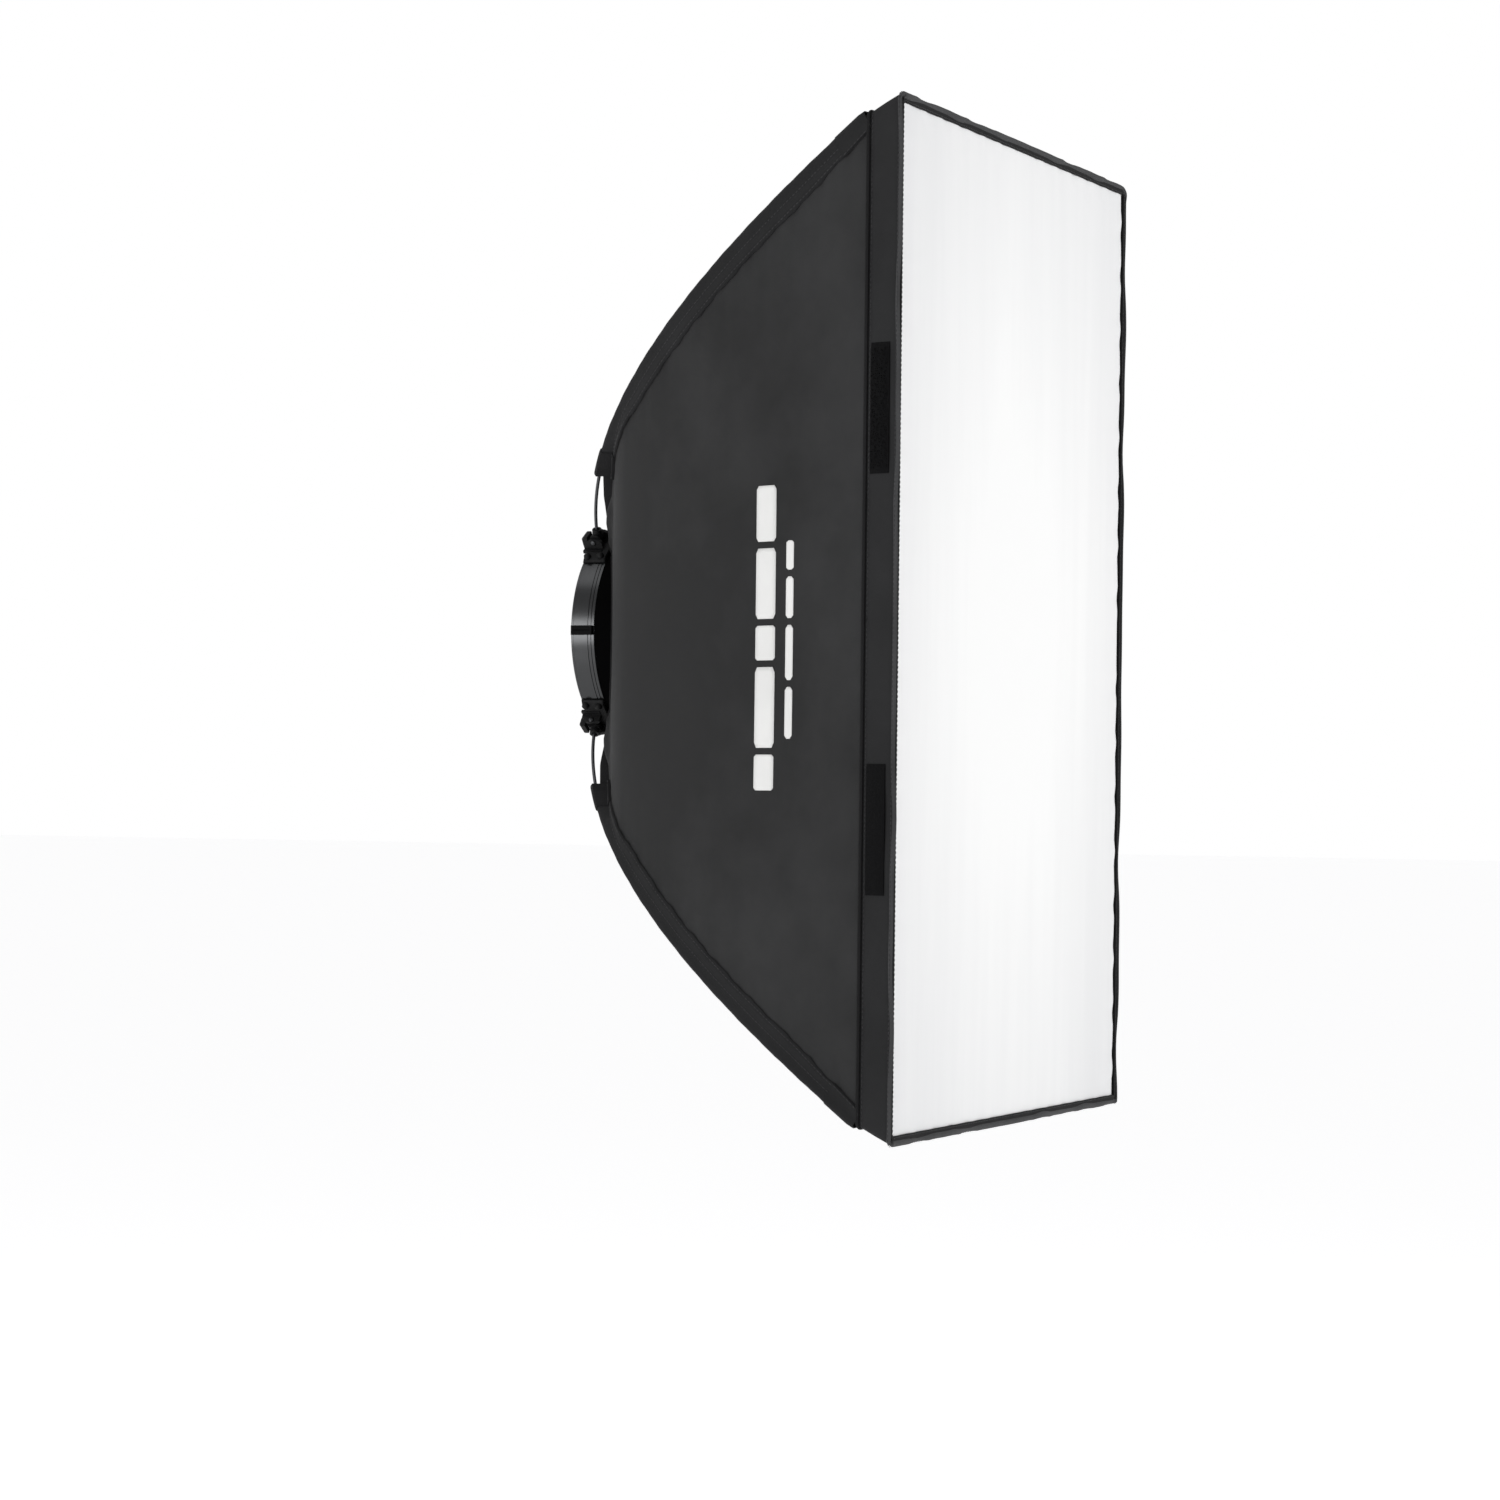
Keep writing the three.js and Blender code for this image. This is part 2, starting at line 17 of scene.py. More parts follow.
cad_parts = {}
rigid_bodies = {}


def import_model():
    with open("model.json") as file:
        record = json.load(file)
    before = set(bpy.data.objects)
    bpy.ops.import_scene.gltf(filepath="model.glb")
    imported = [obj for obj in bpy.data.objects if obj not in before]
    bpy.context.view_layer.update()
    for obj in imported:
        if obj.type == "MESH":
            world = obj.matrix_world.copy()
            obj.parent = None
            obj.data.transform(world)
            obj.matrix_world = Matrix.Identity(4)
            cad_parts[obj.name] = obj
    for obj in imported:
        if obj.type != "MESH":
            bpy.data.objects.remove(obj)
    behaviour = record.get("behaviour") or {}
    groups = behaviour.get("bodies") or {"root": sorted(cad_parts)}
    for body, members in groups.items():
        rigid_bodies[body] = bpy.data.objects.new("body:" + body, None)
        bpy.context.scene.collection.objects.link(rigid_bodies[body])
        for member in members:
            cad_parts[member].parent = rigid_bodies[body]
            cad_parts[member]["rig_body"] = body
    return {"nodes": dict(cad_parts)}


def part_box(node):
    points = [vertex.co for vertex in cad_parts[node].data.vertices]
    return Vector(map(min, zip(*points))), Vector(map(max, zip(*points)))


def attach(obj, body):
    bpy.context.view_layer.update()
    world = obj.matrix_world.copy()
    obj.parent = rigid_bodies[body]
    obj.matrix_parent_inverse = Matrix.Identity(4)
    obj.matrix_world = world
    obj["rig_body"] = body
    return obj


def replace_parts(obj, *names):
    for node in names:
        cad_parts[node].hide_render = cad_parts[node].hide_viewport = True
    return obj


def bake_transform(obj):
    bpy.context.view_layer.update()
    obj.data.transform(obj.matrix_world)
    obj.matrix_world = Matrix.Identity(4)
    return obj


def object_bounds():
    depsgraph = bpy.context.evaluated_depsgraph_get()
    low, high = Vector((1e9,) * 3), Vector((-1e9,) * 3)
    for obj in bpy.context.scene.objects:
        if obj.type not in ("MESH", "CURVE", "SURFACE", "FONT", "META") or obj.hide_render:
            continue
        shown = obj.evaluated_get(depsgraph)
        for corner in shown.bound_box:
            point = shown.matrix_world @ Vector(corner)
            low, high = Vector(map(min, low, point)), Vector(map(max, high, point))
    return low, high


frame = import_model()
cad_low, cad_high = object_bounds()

# %% [markdown]
# ## The shape that everything follows
# Each rod leaves its hinge almost straight out and bends forward, so in the plane through the axis
# and a corner it is one smooth curve. A cubic curve with two handles describes it. The cloth
# panels hang between neighbouring rods, so every panel is ruled: straight along one direction.

# %% Driving sizes, in metres
FRONT_HALF_WIDTH = cad_high.x
FRONT_HALF_HEIGHT = cad_high.z
FRONT_Y = cad_low.y
FRONT_R = math.hypot(FRONT_HALF_WIDTH, FRONT_HALF_HEIGHT)
WIDE = FRONT_HALF_WIDTH / FRONT_R  # a corner direction's share along X
TALL = FRONT_HALF_HEIGHT / FRONT_R  # and along Z
RING_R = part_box("speed_ring")[1].z
RING_FRONT_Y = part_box("speed_ring")[0].y
PIVOT = (0.109, -0.0085)  # distance from the axis, and Y
SEAM_END = (0.530, -0.3785)
START_SLOPE = math.radians(6.8)
END_SLOPE = math.radians(53.6)
START_HANDLE = 0.161
END_HANDLE = 0.160
SLEEVE_START_R = 0.183
STILL_R = 0.108  # the cloth nearer to the axis than this stays still
HEM_R = 0.101
HEM_Y = -0.0215  # at the corners of the rear opening
HEM_BEAD_R = 0.0013
ROD_R = 0.0016
SHELL_THICKNESS = 0.0008
WHITE_THICKNESS = 0.0005
CHORD_FALL = 0.285  # how much the panels move forward for each metre outwards, near the ring
LIP_REAR_Y = SEAM_END[1] - 0.001
DIFFUSER_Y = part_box("front_diffuser")[0].y
DIFFUSER_HALF_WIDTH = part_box("diffuser_edging_right")[1].x
DIFFUSER_HALF_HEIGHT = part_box("diffuser_edging_top")[1].z
EDGING_WIDTH = 0.0055
EDGING_SIDE_CUT = 0.42  # how much narrower it is on the tall sides
BAFFLE_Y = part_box("inner_baffle")[0].y
QUADRANTS = [
    ("upper_left", -1, 1), ("upper_right", 1, 1), ("lower_left", -1, -1), ("lower_right", 1, -1)
]
BACK = np.array([0, 1, 0])  # the way from the front to the ring
print("front half sizes:", round(FRONT_HALF_WIDTH, 4), round(FRONT_HALF_HEIGHT, 4))

# %% The seam curve


def length_so_far(points):
    return np.r_[0, np.cumsum(np.linalg.norm(np.diff(points, axis=0), axis=1))]


def unit(vectors):
    return vectors / np.linalg.norm(vectors, axis=-1, keepdims=True)


def on_corner(quadrant, radii, y):
    """Points in the plane of a quadrant's rod, from distances from the axis and Y."""
    _, sign_x, sign_z = quadrant
    return np.stack([sign_x * WIDE * radii, y, sign_z * TALL * radii], -1)


def on_front(quadrant, flat, y):
    """Points in a quadrant, from positive X and Z in two columns and Y."""
    _, sign_x, sign_z = quadrant
    return np.stack([sign_x * flat[:, 0], y, sign_z * flat[:, 1]], -1)


def seam(t):
    """Points (distance from the axis, Y) and unit slopes of the curve, for an array of shares t."""
    t = np.atleast_1d(np.asarray(t, float))[:, None]
    start = np.array(PIVOT)
    end = np.array(SEAM_END)
    first = start + START_HANDLE * np.array([math.cos(START_SLOPE), -math.sin(START_SLOPE)])
    second = end - END_HANDLE * np.array([math.cos(END_SLOPE), -math.sin(END_SLOPE)])
    u = 1 - t
    point = u**3 * start + 3 * u * u * t * first + 3 * u * t * t * second + t**3 * end
    slope = u * u * (first - start) + 2 * u * t * (second - first) + t * t * (end - second)
    return point, unit(slope)


FINE = np.linspace(0, 1, 801)
FINE_POINTS, _ = seam(FINE)


def share_at_radius(radius):
    """The share of the curve at which it is this far from the axis."""
    return float(np.interp(radius, FINE_POINTS[:, 0], FINE))


def radius_at_y(y):
    """How far the seam is from the axis at this Y."""
    return float(np.interp(-y, -FINE_POINTS[:, 1], FINE_POINTS[:, 0]))


SLEEVE_START = share_at_radius(SLEEVE_START_R)
print("rod curve length:", round(float(length_so_far(FINE_POINTS)[-1]), 3))

# %% Smooth steps and how strongly a point follows its rod


def smooth(t):
    """0 below 0, 1 above 1, and an S-curve between."""
    t = np.clip(t, 0, 1)
    return t * t * (3 - 2 * t)


def box_measures(points):
    """How far out each point is, and its share of the way from a middle line to a corner."""
    u = np.abs(points[:, 0]) / WIDE
    v = np.abs(points[:, 2]) / TALL
    far = np.maximum(np.maximum(u, v), 1e-6)
    return far, np.minimum(u, v) / far


def shell_follow(points):
    """1 along a rod's seam, 0 on the middle line of each side and at the ring."""
    far, share = box_measures(points)
    return smooth(share) * smooth((far - STILL_R) / (SLEEVE_START_R - STILL_R))


def sheet_follow(full):
    """The same for a flat sheet across the box: as the shell beyond this distance, less within."""

    def follow(points):
        far, share = box_measures(points)
        return smooth(share) * smooth(far / full)

    return follow


# %% [markdown]
# ## Finishes
# Black nylon isn't flat black: its threads catch light at a glancing angle, and every finish here
# varies a little from place to place. Each material is a small node tree on a Principled shader.
# Cloth reads the piece's own UV map, laid out in metres, so threads stay the same size everywhere.

# %% Node helpers


def fill_inputs(tree, node, inputs):
    """Links or sets a node's inputs."""
    for key, value in inputs.items():
        if isinstance(value, bpy.types.NodeSocket):
            tree.links.new(value, node.inputs[key])
        else:
            node.inputs[key].default_value = value


def add_node(tree, kind, inputs=None, **settings):
    made = tree.nodes.new(kind)
    for key, value in settings.items():
        setattr(made, key, value)
    fill_inputs(tree, made, inputs or {})
    return made


class Finish:
    """A material with a Principled shader, and short calls that add nodes to it."""

    def __init__(self, name, color, roughness, metallic=0.0):
        self.material = bpy.data.materials.new(name)
        self.material.use_nodes = True
        self.tree = self.material.node_tree
        self.shader = self.tree.nodes["Principled BSDF"]
        self.material.diffuse_color = (*color, 1)
        self.set("Base Color", (*color, 1))
        self.set("Roughness", roughness)
        self.set("Metallic", metallic)
        self.coordinates = self.tree.nodes.new("ShaderNodeTexCoord")

    def set(self, socket, value):
        fill_inputs(self.tree, self.shader, {socket: value})

    def node(self, kind, inputs=None, **settings):
        return add_node(self.tree, "ShaderNode" + kind, inputs, **settings)

    def math(self, operation, first, second=0.0):
        return self.node("Math", {0: first, 1: second}, operation=operation).outputs[0]

    def length(self, vector):
        return self.node("VectorMath", {0: vector}, operation="LENGTH").outputs["Value"]

    def mapped(self, space, scale):
        place_at = self.coordinates.outputs[space]
        return self.node("Mapping", {"Vector": place_at, "Scale": scale}).outputs[0]

    def noise(self, scale, detail, stretch=(1, 1, 1)):
        at = self.mapped("Object", stretch)
        inputs = {"Vector": at, "Scale": scale, "Detail": detail, "Roughness": 0.6}
        return self.node("TexNoise", inputs).outputs["Fac"]

    def vary_color(self, factor, dark, light):
        ramp = self.node("ValToRGB", {"Fac": factor})
        for stop, position, color in zip(ramp.color_ramp.elements, (0.3, 0.7), (dark, light)):
            stop.position = position
            stop.color = (*color, 1)
        self.set("Base Color", ramp.outputs["Color"])

    def vary_roughness(self, factor, low, high):
        ranged = self.node("MapRange", {"Value": factor, "To Min": low, "To Max": high})
        self.set("Roughness", ranged.outputs[0])

    def bump(self, height, strength, distance):
        made = self.node("Bump", {"Height": height, "Strength": strength, "Distance": distance})
        self.set("Normal", made.outputs[0])

    def weave(self, pitch):
        """A plain weave: warp and weft threads that pass over and under each other."""
        split = self.node("SeparateXYZ", {0: self.coordinates.outputs["UV"]})
        turns = math.pi / pitch
        across = self.math("SINE", self.math("MULTIPLY", split.outputs[0], turns))
        along = self.math("SINE", self.math("MULTIPLY", split.outputs[1], turns))
        over = self.math("MULTIPLY", across, along)
        threads = []
        for thread, side in ((across, "GREATER_THAN"), (along, "LESS_THAN")):
            lifted = self.math("ABSOLUTE", thread)
            threads.append(self.math("MULTIPLY", lifted, self.math(side, over, 0)))
        return self.math("ADD", *threads)


def shaded(color, factor):
    return tuple(min(1.0, c * factor) for c in color)


def cloth(name, color, pitch, sheen, bump=0.5, spread=0.25, painted_ring_shade=0.0):
    """Woven cloth: a fine weave, a random tone that changes colour and roughness, and some sheen.

    The last argument paints shade darker towards the ring, and lowers the roughness there too."""
    finish = Finish(name, color, 0.85)
    mottle_and_shade = finish.noise(9.0, 6.0)
    # Painted shade: the tone is pulled down towards the ring, so the colour darkens there.
    if painted_ring_shade:
        far = finish.length(finish.coordinates.outputs["Object"])
        painted_shade_shift = finish.math("MULTIPLY", finish.math("SUBTRACT", far, 0.5), painted_ring_shade)
        mottle_and_shade = finish.math("ADD", mottle_and_shade, finish.math("MINIMUM", painted_shade_shift, 0.0))
    finish.vary_color(mottle_and_shade, shaded(color, 1 - spread), shaded(color, 1 + spread))
    finish.vary_roughness(mottle_and_shade, 0.74, 0.94)
    finish.set("Sheen Weight", sheen)
    finish.set("Sheen Roughness", 0.45)
    finish.set("Specular IOR Level", 0.15)
    finish.bump(finish.weave(pitch), bump, 0.0002)
    return finish


# %% Cloth finishes
# The shell's last number, 0.8, paints shade that darkens it towards the ring.
SHELL = cloth("shell_nylon", (0.0235, 0.0236, 0.0243), 0.0011, 0.06, 0.45, 0.3, 0.8).material
SLEEVE = cloth("sleeve_nylon", (0.0135, 0.0136, 0.0142), 0.0010, 0.04, 0.6).material
LIP = cloth("lip_nylon", (0.0175, 0.0176, 0.0184), 0.0011, 0.04, 0.5).material
CUFF = cloth("cuff_webbing", (0.0075, 0.0075, 0.008), 0.0018, 0.03, 0.9).material
BINDING = cloth("binding_tape", (0.052, 0.0522, 0.054), 0.0014, 0.08, 0.9).material
EDGING = cloth("edging_tape", (0.011, 0.011, 0.0115), 0.0014, 0.02, 0.9).material
# The collar is black cloth made near-black and without gloss, so that it also paints the deep shade
# in the gap between ring and panels.
COLLAR_SHADE_CLOTH = cloth("collar_cloth_painted_shade", (0.0020, 0.0020, 0.0021), 0.0012, 0.0, 0.5)
COLLAR_SHADE_CLOTH.set("Specular IOR Level", 0.0)
COLLAR = COLLAR_SHADE_CLOTH.material
SILVER = cloth("silver_lining", (0.56, 0.57, 0.58), 0.0016, 0.0, 0.5, 0.08).material
THREAD = cloth("thread", (0.030, 0.030, 0.032), 0.0004, 0.2, 0.6).material
PRINT = cloth("printed_ink", (0.72, 0.72, 0.71), 0.0011, 0.0, 0.3, 0.05).material


def diffuser_painted_glow():
    """Thin white cloth, with a painted glow in the middle and painted crease shade down its height.
    """
    finish = Finish("white_diffuser_painted_glow", (0.86, 0.86, 0.855), 0.9)
    # Painted glow: the colour is brightest in the middle and darker towards the edges and corners.
    far = finish.length(finish.mapped("Object", (3.0, 0.0, 2.0)))
    # Painted crease shade: stretched noise darkens faint stripes down the height.
    painted_crease_shade = finish.noise(1.0, 4.0, stretch=(26, 1, 1.6))
    shade = finish.math("ADD", far, finish.math("MULTIPLY", painted_crease_shade, 0.5))
    shade = finish.math("MULTIPLY", shade, 0.47)
    finish.vary_color(shade, (0.965, 0.965, 0.96), (0.80, 0.803, 0.81))
    finish.set("Specular IOR Level", 0.15)
    finish.bump(finish.weave(0.0012), 0.25, 0.00015)
    return finish.material


def hook_pile():
    """The matted black pile of hook-and-loop tape."""
    finish = Finish("tape_pile", (0.004, 0.004, 0.0042), 1.0)
    fuzz = finish.noise(900.0, 3.0)
    finish.vary_color(fuzz, (0.0025, 0.0025, 0.0027), (0.007, 0.007, 0.0075))
    finish.set("Specular IOR Level", 0.1)
    finish.bump(fuzz, 0.8, 0.0005)
    return finish.material


DIFFUSER = diffuser_painted_glow()
TAPE = hook_pile()
print("cloth finishes made")

# %% [markdown]
# The ring is turned aluminium with a dark satin coating. Turning leaves rings of very fine lines,
# so the noise that drives its roughness is stretched round the axis. Moulded plastic gets a fine
# pebble, and the rods' coating is smooth with a soft gloss.

# %% Metal and plastic finishes


def turned_metal(name, color, low, high):
    finish = Finish(name, color, 0.35, 1.0)
    patches = finish.noise(14.0, 5.0)
    lines = finish.noise(1.0, 3.0, stretch=(60, 2600, 60))
    finish.vary_color(patches, shaded(color, 0.9), shaded(color, 1.08))
    finish.vary_roughness(lines, low, high)
    finish.bump(lines, 0.12, 0.00005)
    return finish.material


def moulded_plastic(name, color, roughness, gloss=0.25):
    finish = Finish(name, color, roughness)
    grain = finish.noise(1400.0, 2.0)
    wear = finish.noise(60.0, 5.0)
    finish.vary_color(wear, shaded(color, 0.8), shaded(color, 1.35))
    finish.vary_roughness(wear, roughness - 0.08, roughness + 0.12)
    finish.bump(grain, 0.35, 0.0001)
    finish.set("Specular IOR Level", gloss)
    return finish.material


def coated_rod():
    finish = Finish("rod_coating", (0.045, 0.046, 0.05), 0.32, 0.6)
    streaks = finish.noise(35.0, 4.0)
    finish.vary_color(streaks, (0.035, 0.036, 0.04), (0.06, 0.061, 0.066))
    finish.vary_roughness(streaks, 0.26, 0.42)
    finish.set("Coat Weight", 0.25)
    finish.set("Coat Roughness", 0.2)
    return finish.material


RING_METAL = turned_metal("ring_coating", (0.056, 0.057, 0.0585), 0.20, 0.29)
INSERT_METAL = turned_metal("insert_coating", (0.17, 0.172, 0.178), 0.28, 0.40)
STEEL = turned_metal("blackened_steel", (0.085, 0.086, 0.09), 0.25, 0.36)
SNAP_METAL = turned_metal("bright_steel", (0.55, 0.555, 0.56), 0.22, 0.34)
PLASTIC = moulded_plastic("black_plastic", (0.0035, 0.0035, 0.0038), 0.55, 0.18)
LOCK_PLASTIC = moulded_plastic("lock_plastic", (0.002, 0.002, 0.0022), 0.6, 0.06)
GREY_PLASTIC = moulded_plastic("grey_plastic", (0.30, 0.30, 0.305), 0.5)
ROD = coated_rod()
print("metal and plastic finishes made")

# %% [markdown]
# ## Building blocks
# Most pieces are one of two kinds. A sheet is a grid of points, given its thickness by Solidify.
# A sweep is a closed outline carried from station to station, with a cap at each end. Writing
# both once keeps each piece's own cell short.

# %% Mesh helpers


def new_object(name, data):
    made = bpy.data.objects.new(name, data)
    bpy.context.scene.collection.objects.link(made)
    return made


def plain_mesh(name, points, edges, faces):
    """An object from plain lists, with no finish."""
    mesh = bpy.data.meshes.new(name)
    mesh.from_pydata([tuple(map(float, p)) for p in points], edges, faces)
    mesh.update()
    return new_object(name, mesh)


def shade_smooth(mesh):
    mesh.polygons.foreach_set("use_smooth", [True] * len(mesh.polygons))


def add_piece(name, points, faces, finish):
    piece = plain_mesh(name, points, [], faces)
    piece.data.materials.append(finish)
    shade_smooth(piece.data)
    return piece


def lay_uv(piece, uv):
    """Gives each vertex one place on the cloth, in metres."""
    layer = piece.data.uv_layers.new(name="cloth")
    corners = np.zeros(len(piece.data.loops), int)
    piece.data.loops.foreach_get("vertex_index", corners)
    layer.data.foreach_set("uv", np.asarray(uv, float)[corners].ravel())


def grid_faces(rows, columns):
    return [
        (i * columns + j, (i + 1) * columns + j, (i + 1) * columns + j + 1, i * columns + j + 1)
        for i in range(rows - 1) for j in range(columns - 1)
    ]


def mark_rim_sharp(piece):
    """Keeps the shading of a sheet's face apart from that of its cut edge."""
    uses = {}
    for polygon in piece.data.polygons:
        for key in polygon.edge_keys:
            uses[key] = uses.get(key, 0) + 1
    for edge in piece.data.edges:
        edge.use_edge_sharp = uses.get(tuple(sorted(edge.vertices)), 0) == 1


def face_towards(piece, outward):
    """Turns the faces of a sheet so that, on the whole, they look this way."""
    facing = sum((p.normal * p.area for p in piece.data.polygons), Vector())
    if facing.dot(Vector(outward)) < 0:
        piece.data.flip_normals()


def thicken(piece, thickness):
    solid = piece.modifiers.new("thickness", "SOLIDIFY")
    solid.thickness = thickness
    solid.offset = -1
    return solid


def sheet_piece(name, grid, uv, outward, finish, slot, thickness, lining=None):
    """A cloth sheet from a grid of points, facing outward, thickened on its inner side."""
    rows, columns = grid.shape[:2]
    piece = add_piece(name, grid.reshape(-1, 3), grid_faces(rows, columns), finish)
    lay_uv(piece, uv.reshape(-1, 2))
    face_towards(piece, outward)
    mark_rim_sharp(piece)
    solid = thicken(piece, thickness)
    if lining:
        piece.data.materials.append(lining)
        solid.material_offset = 1
    return piece


def sweep_piece(name, rings, finish, closed=False, sharp=50):
    """A closed outline carried from ring to ring: rings is (stations, points round, 3)."""
    stations, around = rings.shape[:2]
    last = stations if closed else stations - 1
    faces = [
        (i * around + j, i * around + k, n * around + k, n * around + j) for i in range(last)
        for j in range(around) for k, n in (((j + 1) % around, (i + 1) % stations),)
    ]
    if not closed:
        faces.append(tuple(range(around)))
        faces.append(tuple((stations - 1) * around + j for j in reversed(range(around))))
    piece = add_piece(name, rings.reshape(-1, 3), faces, finish)
    along = length_so_far(rings[:, 0])
    across = length_so_far(rings[0])
    uv = np.stack(np.broadcast_arrays(across[None, :], along[:, None]), axis=-1)
    lay_uv(piece, uv.reshape(-1, 2))
    point_outwards(piece)
    piece.data.set_sharp_from_angle(angle=math.radians(sharp))
    return piece


def turned_rings(centre, axis, first, second, profile, steps=28):
    """A profile of (radius, height) turned about an axis; first and second lie across it."""
    return np.array(
        [
            [
                centre + axis * h + r * (math.cos(a) * first + math.sin(a) * second)
                for r, h in profile
            ]
            for a in np.linspace(0, 2 * math.pi, steps, endpoint=False)
        ]
    )


def point_outwards(piece):
    work = bmesh.new()
    work.from_mesh(piece.data)
    bmesh.ops.recalc_face_normals(work, faces=work.faces)
    work.to_mesh(piece.data)
    work.free()


def follow_rod(piece, follow=shell_follow):
    """Bakes a piece's transform and works out how strongly each point follows its rod; the weights
    are not kept.
    """
    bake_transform(piece)
    points = np.array([v.co for v in piece.data.vertices])
    weights = np.clip(follow(points), 0, 1).astype(np.float32)
    return piece


# %% [markdown]
# ## Repeats with Geometry Nodes
# Stitches, pile and screws are one small shape copied many times. A node tree places the copies:
# its inputs are named sizes, and it ends in Realize Instances so that the result is real mesh.

# %% Node tree helpers


def new_tree(name, sizes):
    """A geometry node tree, and its inputs: Geometry, the named sizes and Material."""
    tree = bpy.data.node_groups.new(name, "GeometryNodeTree")
    new_socket = tree.interface.new_socket
    new_socket("Geometry", in_out="INPUT", socket_type="NodeSocketGeometry")
    for label, value in sizes.items():
        kind = "NodeSocketInt" if isinstance(value, int) else "NodeSocketFloat"
        new_socket(label, in_out="INPUT", socket_type=kind).default_value = value
    new_socket("Material", in_out="INPUT", socket_type="NodeSocketMaterial")
    new_socket("Geometry", in_out="OUTPUT", socket_type="NodeSocketGeometry")
    return tree, tree.nodes.new("NodeGroupInput").outputs


def finish_tree(tree, given, instances):
    """Makes the copies real mesh and gives them the Material input."""
    real = add_node(tree, "GeometryNodeRealizeInstances", {"Geometry": instances})
    inputs = {"Geometry": real.outputs[0], "Material": given["Material"]}
    coloured = add_node(tree, "GeometryNodeSetMaterial", inputs)
    add_node(tree, "NodeGroupOutput", {"Geometry": coloured.outputs[0]})
    return tree


def copies_tree(tree, given, points, shape, turned, size):
    """Ends a tree with a copy of a shape on each point."""
    inputs = {"Points": points, "Instance": shape, "Rotation": turned.outputs[0], "Scale": size}
    copies = add_node(tree, "GeometryNodeInstanceOnPoints", inputs)
    return finish_tree(tree, given, copies.outputs[0])


def turned_along(tree, direction):
    """A rotation that takes Z to a direction."""
    return add_node(tree, "FunctionNodeAlignRotationToVector", {"Vector": direction}, axis="Z")


def thin_size(tree, radius, length):
    inputs = {"X": radius, "Y": radius, "Z": length}
    return add_node(tree, "ShaderNodeCombineXYZ", inputs).outputs[0]


def grow(name, base, tree, values):
    """Runs a tree on a base mesh and keeps the result as a plain mesh piece."""
    modifier = base.modifiers.new("grow", "NODES")
    modifier.node_group = tree
    for item in tree.interface.items_tree:
        if item.in_out == "INPUT" and item.name in values:
            modifier[item.identifier] = values[item.name]
    bpy.context.view_layer.update()
    evaluated = base.evaluated_get(bpy.context.evaluated_depsgraph_get())
    mesh = bpy.data.meshes.new_from_object(evaluated)
    mesh.name = name
    bpy.data.objects.remove(base)
    piece = new_object(name, mesh)
    shade_smooth(mesh)
    return piece


# %% The stitch tree


def stitch_tree():
    """Stitches along edges: resampled to the pitch, with one small rounded thread at each point."""
    sizes = {"Pitch": 0.005, "Stitch Length": 0.0034, "Thread Radius": 0.00035}
    tree, given = new_tree("stitch_rows", sizes)
    curve = add_node(tree, "GeometryNodeMeshToCurve", {"Mesh": given["Geometry"]})
    inputs = {"Curve": curve.outputs[0], "Length": given["Pitch"]}
    spaced = add_node(tree, "GeometryNodeResampleCurve", inputs, mode="LENGTH")
    turned = turned_along(tree, add_node(tree, "GeometryNodeInputTangent").outputs[0])
    inputs = {"Segments": 6, "Rings": 4, "Radius": 1.0}
    bead = add_node(tree, "GeometryNodeMeshUVSphere", inputs)
    inputs = {0: given["Stitch Length"], 1: 0.5}
    half = add_node(tree, "ShaderNodeMath", inputs, operation="MULTIPLY")
    size = thin_size(tree, given["Thread Radius"], half.outputs[0])
    return copies_tree(tree, given, spaced.outputs[0], bead.outputs["Mesh"], turned, size)


STITCHES = stitch_tree()


def edge_rows(name, rows):
    """A mesh of open edge chains, one for each row of points."""
    edges = []
    start = 0
    for row in rows:
        edges += [(start + i, start + i + 1) for i in range(len(row) - 1)]
        start += len(row)
    return plain_mesh(name, np.vstack(rows), edges, [])


def stitch_rows(name, rows, pitch=0.0046):
    values = {
        "Pitch": pitch, "Stitch Length": pitch * 0.72, "Thread Radius": 0.0004, "Material": THREAD
    }
    return grow(name, edge_rows(name + "_path", rows), STITCHES, values)


print("stitch tree made")

# %% [markdown]
# ## The cloth panels
# A side of the shell is stretched between two rods, with a hem that lies round the ring. Each is
# made in two halves that meet on the panel's middle line. Near the ring the cloth is pulled
# forward, and small puckers run out from the sewn seams, fading within a few centimetres.

# %% The panel surface
SIDE_KINDS = {"side": (WIDE, TALL), "cap": (TALL, WIDE)}  # shares outwards and along the edge
PANEL_EDGE = 0.003  # the cloth ends this far from the rod's centre line, under the sleeve
PROFILE_START_R = 0.110
CAP_NAMES = {"upper": "top", "lower": "bottom"}


def panel_y(radius):
    """Near the ring the cloth runs straight and the rods bow out over it; further out they meet."""
    on_seam = np.interp(radius, FINE_POINTS[:, 0], FINE_POINTS[:, 1])
    straight = HEM_Y - CHORD_FALL * (np.asarray(radius) - HEM_R)
    blend = 0.012
    mix = np.clip(0.5 + 0.5 * (straight - on_seam) / blend, 0, 1)
    return straight * (1 - mix) + on_seam * mix - blend * mix * (1 - mix)


def panel_profile():
    """Distance from the axis, Y, slope and length so far, from the ring to the front seam."""
    join = 0.25
    outer, _ = seam(np.linspace(share_at_radius(join), 1, 78))
    radii = np.r_[np.linspace(PROFILE_START_R, join, 26, endpoint=False), outer[:, 0]]
    points = np.stack([radii, panel_y(radii)], -1)
    length = length_so_far(points)
    slopes = unit(np.gradient(points, length, axis=0))
    return radii, points[:, 1], slopes, length


